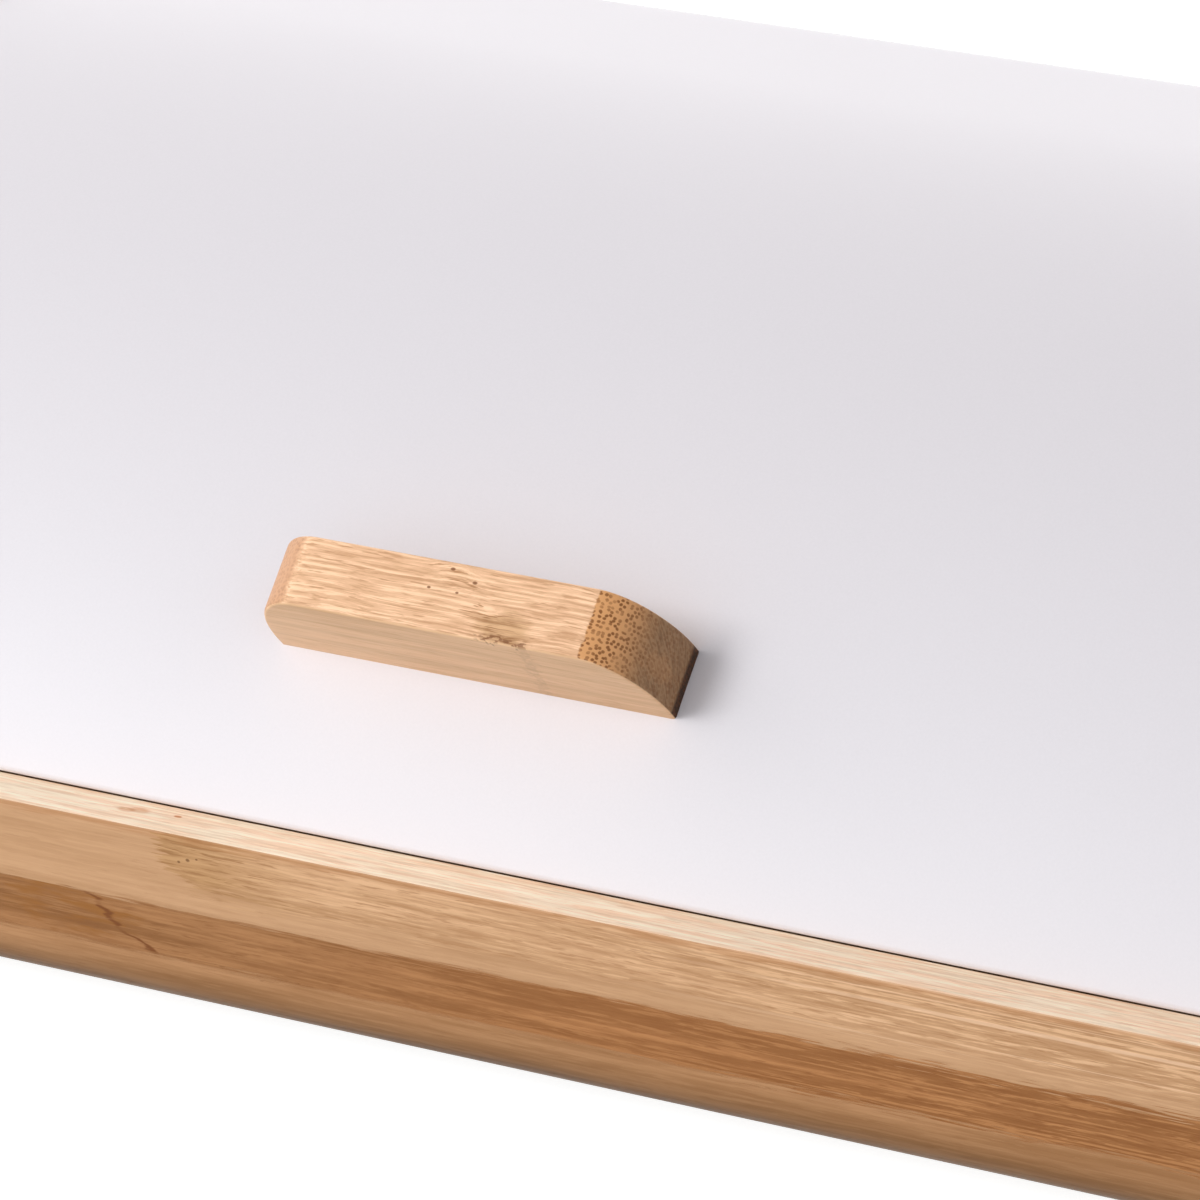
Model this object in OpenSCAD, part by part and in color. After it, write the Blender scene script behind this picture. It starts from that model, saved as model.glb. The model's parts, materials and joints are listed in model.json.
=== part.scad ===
// Bread box: bamboo carcass, curved sheet-steel lid hinged at the rear, shallow drawer under it.
// Millimetres. X to the right, Y to the back, Z up. Origin: bottom centre of the box, where its feet stand.

/* [Box] */
// Width of the whole box
box_w = 486; // [440:1:540]
// Depth of the whole box, drawer front to back
box_d = 284; // [278:1:320]
// Thickness of the side panels
side_t = 12; // [10:0.5:16]
// How far the side panels stand proud of the lid
side_proud = 2; // [1:0.5:4]
// Thickness of the shelf under the bread compartment
shelf_t = 8; // [7:0.5:10]
// Thickness of the bottom panel
bottom_t = 5; // [4:0.5:7]
// Thickness of the back panel
back_t = 8; // [7:0.5:10]
// Depth of the rebates that hold the back and bottom panels
rebate = 6.5; // [6.25:0.25:7]

/* [Feet] */
// Height of the feet
foot_h = 8; // [6:0.5:12]
// Diameter of the feet
foot_dia = 18; // [14:1:19]
// Distance of the feet from the front and back of the box
foot_inset = 34; // [26:1:60]

/* [Lid] */
// Outer radius of the lid's curve
lid_r = 248; // [244:1:254]
// Angle at the arc's centre between the horizontal and the lid's lower edge
lid_start = 31; // [30:0.5:32]
// Thickness of the lid's sheet
lid_t = 1; // [0.8:0.1:1.5]
// Radius of the bead along the lid's lower edge
hem_r = 1.6; // [1.5:0.1:2]
// Radius of the roll at the lid's rear edge, centred on the hinge
roll_r = 14; // [13:0.5:17]
// How far below the hinge's level the roll wraps, in degrees
roll_wrap = 50; // [35:1:60]
// Gap between the lid's ends and the side panels
lid_side_gap = 1; // [0.6:0.1:2]
// Gap between the drawer front's top and the lid's lower edge
lid_gap = 0.6; // [0.4:0.1:1.2]
// How far behind the drawer front's face the lid's lower edge lies
lid_setback = 12; // [11.6:0.1:12.2]
// Thickness of the lid's end plates
plate_t = 1.2; // [1:0.1:2]
// Width of the end plates along the curve
plate_w = 12; // [8:0.5:16]
// Opening angle of the lid
lid_open = 100; // [92:1:104]

/* [Hinge] */
// Diameter of the hinge screw's shoulder
hinge_dia = 6; // [5:0.5:7]
// Running clearance round the shoulder, on the radius
hinge_clear = 0.05; // [0.03:0.01:0.1]
// Wall of the hinge bush
bush_wall = 1.4; // [1.2:0.1:1.6]
// Length of the bush inside the end plate
bush_len = 3.5; // [2.5:0.5:5]
// Diameter of the brass insert
insert_dia = 8; // [7:0.5:9]
// Length of the brass insert
insert_len = 8; // [7:0.5:9]
// Diameter of the pins that stop the open lid
stop_dia = 3.6; // [3:0.2:4]

/* [Handle] */
// Length of the handle at the lid
handle_l = 100; // [80:1:140]
// Width of the handle, up the slope of the lid
handle_w = 17; // [14:0.5:24]
// Height of the handle off the lid
handle_h = 27.5; // [20:0.5:36]
// Length of the curve at each end of the handle
handle_run = 13; // [8:0.5:18]
// Angle of the handle on the lid's arc
handle_angle = 42.7; // [40:0.1:60]
// Distance between the handle's screws
handle_pitch = 64; // [48:1:72]

/* [Drawer] */
// Thickness of the drawer front
front_t = 14; // [13.5:0.5:18]
// Height of the drawer front
front_h = 41.5; // [40:0.5:46]
// Radius of the drawer front's lower front edge
front_round = 7; // [4:0.5:7]
// Thickness of the drawer's sides, inner front and back
wall_t = 10; // [9:0.5:12]
// Gap between the drawer's back and the back panel
drawer_rear_gap = 18; // [14:1:60]
// Thickness of the drawer's bottom
tray_t = 4; // [3:0.5:5]
// How far the drawer's bottom goes into its walls
tray_in = 4; // [2:0.5:4]
// How far the drawer pulls out
drawer_travel = 170; // [120:1:175]
// Gap between the drawer front and the box
front_gap = 0.4; // [0.3:0.1:1]
// Gap between the drawer and the side panels
drawer_side_gap = 1.5; // [1:0.25:2.5]
// Gap between the drawer and the bottom panel
drawer_under_gap = 1.2; // [0.8:0.1:2]
// Gap between the drawer and the shelf
drawer_over_gap = 1.5; // [1:0.1:2.5]

/* [Runners] */
// Height of the runners
runner_h = 6; // [5:0.5:7]
// Thickness of the runners
runner_t = 6; // [5:0.25:6.5]
// Depth of the grooves in the drawer's sides
groove_depth = 5; // [4.5:0.25:6]
// Clearance above and below a runner in its groove
runner_clear = 0.3; // [0.2:0.05:0.6]

/* [Finger pull] */
// Width of the finger pull under the drawer front
pull_w = 96; // [70:1:110]
// Height of the finger pull inside the drawer front
pull_h = 12; // [8:0.5:16]
// Depth of the finger pull into the drawer front
pull_in = 5.5; // [4:0.25:6]
// Depth of the matching notch in the bottom panel
pull_back = 10; // [6:0.5:14]

/* [Vents] */
// Number of air holes in the back panel
vent_count = 7; // [3:2:11]
// Diameter of an air hole
vent_dia = 7; // [5:0.5:10]
// Distance between air holes
vent_pitch = 18; // [14:1:24]
// Distance of the air holes below the back panel's top
vent_drop = 24; // [18:1:40]

/* [Fasteners] */
// Diameter of the small wood screws
screw_dia = 3; // [2.5:0.25:3.5]
// Diameter of their heads
screw_head = 6; // [5:0.5:7]
// Length of the small wood screws
screw_len = 18; // [15:1:20]
// Diameter of the dowels
dowel_dia = 5; // [4:0.5:5.5]
// Length of a dowel in the edge of a board
dowel_deep = 14; // [10:1:18]
// Length of a dowel in the face of a board
dowel_shallow = 7; // [5:0.5:7.5]
// Diameter of the handle and drawer front screws
bolt_dia = 4; // [3.5:0.5:5]
// Diameter of their heads
bolt_head = 8; // [7:0.5:9]
// Thickness of the bumper pads under the gap that they leave to the lid
bumper_gap = 0.2; // [0.1:0.05:0.3]

/* [Hidden] */

bamboo = [0.86, 0.68, 0.50];
bamboo_edge = [0.78, 0.58, 0.38];
white_steel = [0.90, 0.89, 0.90];
zinc = [0.75, 0.76, 0.78];
brass = [0.80, 0.65, 0.30];
rubber = [0.16, 0.16, 0.17];
nylon = [0.92, 0.91, 0.86];
ply = [0.84, 0.70, 0.52];

// Smoothness of large curves and of small round parts
fine = 360;
round_fn = 48;
// A length beyond everything, for cutting shapes, and a small overlap for clean cuts
far = 1000;
cut = 0.5;

// Planes across the box
side_x = box_w / 2 - side_t;
front_y = -box_d / 2;
back_y = box_d / 2;
frame_y = front_y + front_t + front_gap;
inner_back_y = back_y - back_t;
// Middle of the rebates, and the feet, whose outer edge stays inside the box
rebate_screw_x = side_x + rebate / 2;
foot_margin = 1;
foot_x = box_w / 2 - foot_margin - foot_dia / 2;

// Levels from the table up
front_top = foot_h + front_h;
lid_z0 = front_top + lid_gap;
// The shelf's top lies this far below the drawer front's
seat_drop = 1.5;
shelf_top = front_top - seat_drop;
shelf_z0 = shelf_top - shelf_t;
bottom_top = foot_h + bottom_t;

// Lid curve: centre of the arc, top of the lid, hinge line
arc_y = front_y + lid_setback + lid_r * cos(lid_start);
arc_z = lid_z0 - lid_r * sin(lid_start);
lid_top = arc_z + lid_r;
hinge_y = back_y - side_proud - roll_r;
hinge_z = lid_top - roll_r;
lid_half = side_x - lid_side_gap;
hem_angle = asin((lid_z0 + hem_r - arc_z) / (lid_r - hem_r));
// Gap between the roll and the cove in the back panel, and how far under the hinge the panel ends
roll_gap = 1;
cove_share = 0.72;
back_top = hinge_z - roll_r * cove_share;

// Hinge stack, measured from a side panel's inner face towards the middle
bush_r = hinge_dia / 2 + hinge_clear + bush_wall;
bush_flange = 2.2;
bush_flange_r = bush_r + bush_flange;
bush_flange_gap = 0.2;
bush_end = lid_side_gap + plate_t + bush_len;
hinge_head_gap = 0.3;
hinge_head_lip = 1;
hinge_head_r = bush_r + hinge_head_lip;
hinge_head_h = 3;
hinge_step = 1;
hinge_thread_dia = hinge_dia - hinge_step;
insert_floor = 0.5;
hinge_thread_len = insert_len - insert_floor;

// Lid stop: a pin in a notch of the end plate's hub
hub_wall = 2.6;
hub_r = bush_r + hub_wall;
stop_gap = 0.3;
stop_radius = hub_r + stop_gap + stop_dia / 2;
stop_half = asin((stop_dia / 2 + stop_gap) / stop_radius);
notch_from = -176;
notch_to = notch_from + lid_open + 2 * stop_half;
stop_angle = notch_from + stop_half;
stop_past_plate = 1;
stop_reach = lid_side_gap + plate_t + stop_past_plate;
stop_deep = 7;

// Drawer
drawer_x = side_x - drawer_side_gap;
drawer_y0 = front_y + front_t;
drawer_y1 = inner_back_y - drawer_rear_gap;
drawer_z0 = bottom_top + drawer_under_gap;
drawer_z1 = shelf_z0 - drawer_over_gap;
tray_rise = 3;
tray_z0 = drawer_z0 + tray_rise;
runner_rise = 0.5;
runner_z = (drawer_z0 + drawer_z1) / 2 + runner_rise;
runner_end_gap = 1;
runner_back_gap = 4;
groove_y0 = drawer_y0 + wall_t;
runner_y0 = groove_y0 + runner_end_gap;
runner_y1 = inner_back_y - runner_back_gap;
stop_screw_gap = 0.4;
stop_screw_y = drawer_y1 - wall_t - drawer_travel - bolt_dia / 2 - stop_screw_gap;
stop_screw_share = 0.3;
stop_screw_x = stop_screw_share * box_w;
stop_screw_hang = 7;
// Wood left past the point of a runner's screw
screw_cover = 3;
runner_screw_len = runner_t + side_t - screw_cover;

// Where fasteners stand along the box
dowel_front_inset = 46;
dowel_back_inset = 38;
shelf_dowel_ys = [front_y + dowel_front_inset, (frame_y + inner_back_y) / 2, inner_back_y - dowel_back_inset];
back_screw_low = 24;
back_screw_high = 12;
back_screw_zs = [foot_h + back_screw_low, (foot_h + back_top) / 2, back_top - back_screw_high];
back_screw_share = 0.3;
back_screw_xs = [-back_screw_share * box_w, 0, back_screw_share * box_w];
bottom_screw_share = 0.18;
bottom_screw_ys = [-bottom_screw_share * box_d, bottom_screw_share * box_d];
foot_ys = [front_y + foot_inset, back_y - foot_inset];
runner_screw_inset = 18;
runner_screw_ys = [runner_y0 + runner_screw_inset, (runner_y0 + runner_y1) / 2,
    runner_y1 - runner_screw_inset];
drawer_screw_outer = 0.36 * box_w;
drawer_screw_inner = 0.16 * box_w;
drawer_screw_xs = [-drawer_screw_outer, -drawer_screw_inner, drawer_screw_inner, drawer_screw_outer];
drawer_screw_rise = 2;
drawer_screw_z = runner_z + drawer_screw_rise;
drawer_screw_deep = 2.5 * bolt_dia;
drawer_dowel_z = (runner_z + runner_h / 2 + runner_clear + drawer_z1) / 2;
handle_screw_deep = 14;
bolt_room = 0.25;
washer_t = 1;
washer_rim = 1.5;
washer_r = bolt_head / 2 + washer_rim;
// Screw points and heads: tip radius, space past a point, share of a head that its slot takes
tip_r = 0.3;
tip_gap = 1;
slot_share = 0.55;
pan_head_h = 2.4;
small_head_h = 2;
small_head_room = 0.5;
foot_head_deep = 3;
// A flat washer meets the curved sheet at its rim, this far under the lid's outer face
sheet_in_r = lid_r - lid_t;
washer_seat = lid_t + sheet_in_r - sqrt(sheet_in_r * sheet_in_r - washer_r * washer_r);

// A flat outline in Y and Z, given thickness from x0 to x1
module slab(x0, x1) {
    translate([x0, 0, 0]) rotate([90, 0, 90]) linear_extrude(x1 - x0) children();
}

// A board from one corner to the opposite one
module board(low, high) {
    translate(low) cube(high - low);
}

// The same thing on both sides of the box
module both_sides() {
    children();
    mirror([1, 0, 0]) children();
}

// A rod along X that starts at x0 and is len long
module rod_x(x0, len, r, y, z) {
    translate([x0, y, z]) rotate([0, 90, 0]) cylinder(h = len, r = r, $fn = round_fn);
}

// A rod along Y that starts at y0 and is len long
module rod_y(y0, len, r, x, z) {
    translate([x, y0, z]) rotate([-90, 0, 0]) cylinder(h = len, r = r, $fn = round_fn);
}

// Countersunk wood screw: head in the plane z = 0, point towards +Z
module wood_screw(len) {
    difference() {
        screw_body(len);
        cross_recess(screw_head * slot_share, (screw_head - screw_dia) * 0.4);
    }
}

// The same screw without its driver slot, which is also the hole that it fills
module screw_body(len) {
    cylinder(h = (screw_head - screw_dia) / 2, r1 = screw_head / 2, r2 = screw_dia / 2, $fn = round_fn);
    cylinder(h = len - screw_dia, r = screw_dia / 2, $fn = round_fn);
    translate([0, 0, len - screw_dia])
        cylinder(h = screw_dia, r1 = screw_dia / 2, r2 = tip_r, $fn = round_fn);
}

// Pan-head screw: head below the plane z = 0, shank towards +Z
module pan_screw(len, dia, head, head_h) {
    difference() {
        union() {
            translate([0, 0, -head_h]) cylinder(h = head_h, r = head / 2, $fn = round_fn);
            cylinder(h = len, r = dia / 2, $fn = round_fn);
        }
        translate([0, 0, -head_h]) cross_recess(head * slot_share, head_h * 0.6);
    }
}

// Cross slot for a driver, cut upwards from the plane z = 0
module cross_recess(size, deep) {
    slot = size / 4;
    translate([-size / 2, -slot / 2, -cut]) cube([size, slot, deep + cut]);
    translate([-slot / 2, -size / 2, -cut]) cube([slot, size, deep + cut]);
}

// Outline of the box in Y and Z, grow mm outside the lid's outer face
module lid_outline(grow, floor_z) {
    intersection() {
        translate([arc_y, arc_z]) circle(r = lid_r + grow, $fn = fine);
        translate([arc_y, floor_z]) mirror([1, 0]) square(far);
    }
    translate([arc_y, floor_z]) square([hinge_y - arc_y, lid_top + grow - floor_z]);
    translate([hinge_y, hinge_z]) circle(r = roll_r + grow, $fn = fine);
}

// Sector of a circle round the hinge, between two angles (0 is the back, 90 is up)
module hinge_sector(from, to, r) {
    steps = ceil((to - from) / 30);
    translate([hinge_y, hinge_z])
        polygon([[0, 0], for (i = [0:steps]) let (a = from + (to - from) * i / steps)
                [2 * r * cos(a), 2 * r * sin(a)]]);
}

// ---- Carcass ----

module side_panel() {
    difference() {
        slab(side_x, side_x + side_t) difference() {
            union() {
                lid_outline(side_proud, lid_z0);
                translate([frame_y, foot_h]) square([back_y - frame_y, lid_z0 + cut - foot_h]);
                translate([hinge_y, foot_h]) square([back_y - hinge_y, hinge_z - foot_h]);
            }
            translate([frame_y, lid_z0]) rotate(180) square(far);
        }
        board([side_x - cut, inner_back_y, foot_h - cut], [side_x + rebate, back_y + cut, back_top]);
        board([side_x - cut, frame_y - cut, foot_h - cut], [side_x + rebate, inner_back_y + cut, bottom_top]);
        for (y = shelf_dowel_ys)
            rod_x(side_x - cut, dowel_shallow + cut, dowel_dia / 2, y, shelf_z0 + shelf_t / 2);
        rod_x(side_x - cut, insert_len + insert_floor + cut, insert_dia / 2, hinge_y, hinge_z);
        rod_x(side_x - cut, stop_deep + cut, stop_dia / 2, stop_y(), stop_z());
        at_back_screws() screw_body(screw_len);
        at_bottom_screws() screw_body(screw_len);
        for (y = foot_ys)
            translate([foot_x, y, foot_h]) cylinder(h = screw_len, r = screw_dia / 2, $fn = round_fn);
        for (y = runner_screw_ys)
            rod_x(side_x - cut, runner_screw_len - runner_t + cut, screw_dia / 2, y, runner_z);
    }
}

function stop_y() = hinge_y + stop_radius * cos(stop_angle);
function stop_z() = hinge_z + stop_radius * sin(stop_angle);

module side_panel_right() {
    color(bamboo) side_panel();
}

module side_panel_left() {
    color(bamboo) mirror([1, 0, 0]) side_panel();
}

module back_panel() {
    half = side_x + rebate;
    color(bamboo) difference() {
        board([-half, inner_back_y, foot_h], [half, back_y, back_top]);
        rod_x(-half - cut, 2 * half + 2 * cut, roll_r + roll_gap, hinge_y, hinge_z);
        both_sides()
            board([side_x, inner_back_y - cut, foot_h - cut], [half + cut, inner_back_y, bottom_top]);
        for (i = [0:vent_count - 1])
            rod_y(inner_back_y - cut, back_t + 2 * cut, vent_dia / 2,
                (i - (vent_count - 1) / 2) * vent_pitch, back_top - vent_drop);
        at_back_screws() screw_body(screw_len);
    }
}

// Where screws hold the back panel to the side panels and to the shelf
module at_back_screws() {
    for (z = back_screw_zs) both_sides()
        translate([rebate_screw_x, back_y, z]) rotate([90, 0, 0]) children();
    for (x = back_screw_xs)
        translate([x, back_y, shelf_z0 + shelf_t / 2]) rotate([90, 0, 0]) children();
}

module back_screws() {
    color(zinc) at_back_screws() wood_screw(screw_len);
}

module shelf_panel() {
    mid_z = shelf_z0 + shelf_t / 2;
    color(bamboo) difference() {
        board([-side_x, frame_y, shelf_z0], [side_x, inner_back_y, shelf_top]);
        for (y = shelf_dowel_ys) both_sides()
            rod_x(side_x - dowel_deep, dowel_deep + cut, dowel_dia / 2, y, mid_z);
        for (x = back_screw_xs) rod_y(back_y - screw_len, screw_len, screw_dia / 2, x, mid_z);
        both_sides() stop_screw();
    }
}

module shelf_dowels() {
    color(bamboo_edge) for (y = shelf_dowel_ys) both_sides()
        rod_x(side_x - dowel_deep, dowel_deep + dowel_shallow, dowel_dia / 2, y, shelf_z0 + shelf_t / 2);
}

module bottom_panel() {
    half = side_x + rebate;
    color(ply) difference() {
        board([-half, frame_y, foot_h], [half, inner_back_y, bottom_top]);
        board([-pull_w / 2, frame_y - cut, foot_h - cut],
            [pull_w / 2, frame_y + pull_back, bottom_top + cut]);
        at_bottom_screws() screw_body(screw_len);
        for (y = foot_ys) both_sides()
            translate([foot_x, y, foot_h - cut])
                cylinder(h = bottom_t + 2 * cut, r = screw_dia / 2, $fn = round_fn);
    }
}

module at_bottom_screws() {
    for (y = bottom_screw_ys) both_sides() translate([rebate_screw_x, y, foot_h]) children();
}

module bottom_screws() {
    color(zinc) at_bottom_screws() wood_screw(screw_len);
}

// Each foot is a rubber disc with a softened rim and a recess for its screw
module feet() {
    rim = 1.5;
    color(rubber) for (y = foot_ys) both_sides() translate([foot_x, y, 0]) difference() {
        rotate_extrude($fn = round_fn * 2) union() {
            translate([0, rim]) square([foot_dia / 2, foot_h - rim]);
            square([foot_dia / 2 - rim, rim + cut]);
            translate([foot_dia / 2 - rim, rim]) circle(r = rim, $fn = round_fn);
        }
        translate([0, 0, -cut])
            cylinder(h = foot_head_deep + cut, r = screw_head / 2 + small_head_room, $fn = round_fn);
        cylinder(h = foot_h + cut, r = screw_dia / 2, $fn = round_fn);
    }
}

module foot_screws() {
    color(zinc) for (y = foot_ys) both_sides() translate([foot_x, y, foot_head_deep])
        pan_screw(foot_h - foot_head_deep + screw_len - tip_gap, screw_dia, screw_head, small_head_h);
}

// ---- Drawer runners and stops ----

module drawer_runner() {
    color(bamboo_edge) difference() {
        board([side_x - runner_t, runner_y0, runner_z - runner_h / 2],
            [side_x, runner_y1, runner_z + runner_h / 2]);
        at_runner_screws() screw_body(runner_screw_len);
    }
}

// Where screws hold the right-hand runner
module at_runner_screws() {
    for (y = runner_screw_ys)
        translate([side_x - runner_t, y, runner_z]) rotate([0, 90, 0]) children();
}

module drawer_runner_right() {
    drawer_runner();
}

module drawer_runner_left() {
    mirror([1, 0, 0]) drawer_runner();
}

module runner_screws() {
    color(zinc) both_sides() at_runner_screws() wood_screw(runner_screw_len);
}

// Screw through the shelf: its point hangs into the drawer and stops the drawer's back
module stop_screw() {
    translate([stop_screw_x, stop_screw_y, shelf_z0 - stop_screw_hang])
        cylinder(h = shelf_t - small_head_h + stop_screw_hang, r = bolt_dia / 2, $fn = round_fn);
    translate([stop_screw_x, stop_screw_y, shelf_top - small_head_h])
        cylinder(h = small_head_h, r1 = bolt_dia / 2, r2 = bolt_head / 2, $fn = round_fn);
}

module drawer_stop_screws() {
    color(zinc) both_sides() difference() {
        stop_screw();
        translate([stop_screw_x, stop_screw_y, shelf_top]) mirror([0, 0, 1])
            cross_recess(bolt_head * slot_share, small_head_h * 0.7);
    }
}

// ---- Lid seat, stops and hinge ----

// Pads on the shelf's front edge, on which the lid's bead comes down
module lid_bumpers() {
    pad_w = 12;
    pad_d = 8;
    pad_inset = 24;
    pad_x = side_x - pad_inset;
    color(rubber) both_sides()
        board([pad_x - pad_w, frame_y, shelf_top], [pad_x, frame_y + pad_d, lid_z0 - bumper_gap]);
}

module lid_stop_pins() {
    color(zinc) both_sides()
        rod_x(side_x - stop_reach, stop_reach + stop_deep, stop_dia / 2, stop_y(), stop_z());
}

module hinge_insert() {
    color(brass) difference() {
        rod_x(side_x, insert_len, insert_dia / 2, hinge_y, hinge_z);
        rod_x(side_x - cut, insert_len + 2 * cut, hinge_thread_dia / 2, hinge_y, hinge_z);
    }
}

module hinge_insert_right() {
    hinge_insert();
}

module hinge_insert_left() {
    mirror([1, 0, 0]) hinge_insert();
}

// Shoulder screw: head inside the lid, shoulder through the bush, thread in the insert
module hinge_screw() {
    shoulder_x = side_x - bush_end - hinge_head_gap;
    color(zinc) difference() {
        union() {
            rod_x(shoulder_x - hinge_head_h, hinge_head_h, hinge_head_r, hinge_y, hinge_z);
            rod_x(shoulder_x, side_x - shoulder_x, hinge_dia / 2, hinge_y, hinge_z);
            rod_x(side_x, hinge_thread_len, hinge_thread_dia / 2, hinge_y, hinge_z);
        }
        translate([shoulder_x - hinge_head_h, hinge_y, hinge_z]) rotate([0, 90, 0])
            cross_recess(hinge_head_r * 2 * slot_share, hinge_head_h * 0.6);
    }
}

module hinge_screw_right() {
    hinge_screw();
}

module hinge_screw_left() {
    mirror([1, 0, 0]) hinge_screw();
}

// Flanged bush in the lid's end plate, which turns on the screw's shoulder
module hinge_bush() {
    color(nylon) difference() {
        union() {
            rod_x(side_x - bush_end, bush_end - bush_flange_gap, bush_r, hinge_y, hinge_z);
            rod_x(side_x - lid_side_gap, lid_side_gap - bush_flange_gap, bush_flange_r, hinge_y, hinge_z);
        }
        rod_x(side_x - bush_end - cut, bush_end + 2 * cut, hinge_dia / 2 + hinge_clear, hinge_y, hinge_z);
    }
}

module hinge_bush_right() {
    hinge_bush();
}

module hinge_bush_left() {
    mirror([1, 0, 0]) hinge_bush();
}

// ---- Lid ----

// Places its children on the lid: origin at the handle's seat, +Z out of the lid, +Y up the slope
module on_lid() {
    translate([0, arc_y - lid_r * cos(handle_angle), arc_z + lid_r * sin(handle_angle)])
        rotate([90 - handle_angle, 0, 0]) children();
}

// Band of the lid's section, from one depth under its outer face to another
module lid_band(outer, inner, floor_z) {
    intersection() {
        translate([arc_y, arc_z]) difference() {
            circle(r = lid_r - outer, $fn = fine);
            circle(r = lid_r - inner, $fn = fine);
        }
        translate([arc_y, floor_z]) mirror([1, 0]) square(far);
    }
    translate([arc_y, lid_top - inner]) square([hinge_y - arc_y, inner - outer]);
}

// Sheet with a bead along its lower edge and a roll round the hinge line at its rear
module lid_skin() {
    bead_y = arc_y - (lid_r - hem_r) * cos(hem_angle);
    color(white_steel) difference() {
        slab(-lid_half, lid_half) {
            lid_band(0, lid_t, lid_z0 + hem_r);
            intersection() {
                translate([hinge_y, hinge_z]) difference() {
                    circle(r = roll_r, $fn = fine);
                    circle(r = roll_r - lid_t, $fn = fine);
                }
                hinge_sector(-roll_wrap, 90, roll_r);
            }
            translate([bead_y, lid_z0 + hem_r]) circle(r = hem_r, $fn = round_fn);
        }
        for (s = [-1, 1]) on_lid() translate([s * handle_pitch / 2, 0, -lid_t - cut])
            cylinder(h = lid_t + 2 * cut, r = bolt_dia / 2 + bolt_room, $fn = round_fn);
    }
}

// Rim plate inside each end of the sheet, with a hub for the hinge and a notch for the stop pin
module lid_end_plate() {
    color(white_steel) difference() {
        slab(lid_half - plate_t, lid_half) difference() {
            union() {
                lid_band(lid_t, lid_t + plate_w, lid_z0 + 2 * hem_r);
                translate([hinge_y, hinge_z]) circle(r = roll_r - lid_t, $fn = fine);
            }
            difference() {
                hinge_sector(notch_from, notch_to, roll_r);
                translate([hinge_y, hinge_z]) circle(r = hub_r, $fn = round_fn);
            }
        }
        rod_x(lid_half - plate_t - cut, plate_t + 2 * cut, bush_r, hinge_y, hinge_z);
    }
}

module lid_end_plate_right() {
    lid_end_plate();
}

module lid_end_plate_left() {
    mirror([1, 0, 0]) lid_end_plate();
}

// Handle outline from the side: flat outer face, a quarter ellipse down to the lid at each end
module handle_outline() {
    steps = 24;
    flat = handle_l / 2 - handle_run;
    end = [for (i = [0:steps]) let (a = 90 * i / steps) [flat + handle_run * sin(a), handle_h * cos(a)]];
    foot = [[handle_l / 2, -cut], [-handle_l / 2, -cut]];
    polygon(concat(end, foot, [for (i = [steps:-1:0]) [-end[i][0], end[i][1]]]));
}

module lid_handle() {
    color(bamboo) difference() {
        on_lid() rotate([90, 0, 0]) translate([0, 0, -handle_w / 2])
            linear_extrude(handle_w) handle_outline();
        slab(-handle_l, handle_l) translate([arc_y, arc_z]) circle(r = lid_r, $fn = fine);
        on_lid() for (s = [-1, 1]) translate([s * handle_pitch / 2, 0, -cut])
            cylinder(h = handle_screw_deep + cut, r = bolt_dia / 2, $fn = round_fn);
    }
}

module handle_screws() {
    color(zinc) on_lid() for (s = [-1, 1]) translate([s * handle_pitch / 2, 0, -washer_seat - washer_t])
        pan_screw(washer_seat + washer_t + handle_screw_deep - tip_gap, bolt_dia, bolt_head, pan_head_h);
}

module handle_washers() {
    color(zinc) on_lid() for (s = [-1, 1]) translate([s * handle_pitch / 2, 0, -washer_seat - washer_t])
        difference() {
            cylinder(h = washer_t, r = washer_r, $fn = round_fn);
            translate([0, 0, -cut]) cylinder(h = washer_t + 2 * cut, r = bolt_dia / 2, $fn = round_fn);
        }
}

// ---- Drawer ----

module drawer_front() {
    color(bamboo) difference() {
        slab(-box_w / 2, box_w / 2) difference() {
            translate([front_y, foot_h]) square([front_t, front_h]);
            difference() {
                translate([front_y - cut, foot_h - cut]) square([front_round + cut, front_round + cut]);
                translate([front_y + front_round, foot_h + front_round]) circle(r = front_round, $fn = fine);
            }
        }
        board([-pull_w / 2, drawer_y0 - pull_in, foot_h - cut],
            [pull_w / 2, drawer_y0 + cut, foot_h + pull_h]);
        for (x = drawer_screw_xs)
            rod_y(drawer_y0 - drawer_screw_deep, drawer_screw_deep + cut, bolt_dia / 2, x, drawer_screw_z);
    }
}

module drawer_front_screws() {
    color(zinc) for (x = drawer_screw_xs) translate([x, drawer_y0 + wall_t, drawer_screw_z])
        rotate([90, 0, 0]) pan_screw(wall_t + drawer_screw_deep - tip_gap, bolt_dia, bolt_head, pan_head_h);
}

// Inner front and back are the same board, turned round
module cross_board(y0) {
    difference() {
        board([-drawer_x + wall_t, y0, drawer_z0], [drawer_x - wall_t, y0 + wall_t, drawer_z1]);
        tray_space();
        drawer_dowels_solid();
    }
}

// The space that the drawer's bottom fills
module tray_space() {
    board([-drawer_x + wall_t - tray_in, drawer_y0 + wall_t - tray_in, tray_z0],
        [drawer_x - wall_t + tray_in, drawer_y1 - wall_t + tray_in, tray_z0 + tray_t]);
}

module drawer_inner_front() {
    color(bamboo) difference() {
        cross_board(drawer_y0);
        for (x = drawer_screw_xs)
            rod_y(drawer_y0 - cut, wall_t + 2 * cut, bolt_dia / 2, x, drawer_screw_z);
    }
}

module drawer_back() {
    color(bamboo) cross_board(drawer_y1 - wall_t);
}

module drawer_side() {
    color(bamboo) difference() {
        board([drawer_x - wall_t, drawer_y0, drawer_z0], [drawer_x, drawer_y1, drawer_z1]);
        board([drawer_x - groove_depth, groove_y0, runner_z - runner_h / 2 - runner_clear],
            [drawer_x + cut, drawer_y1 + cut, runner_z + runner_h / 2 + runner_clear]);
        tray_space();
        drawer_dowels_solid();
    }
}

module drawer_side_right() {
    drawer_side();
}

module drawer_side_left() {
    mirror([1, 0, 0]) drawer_side();
}

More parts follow.
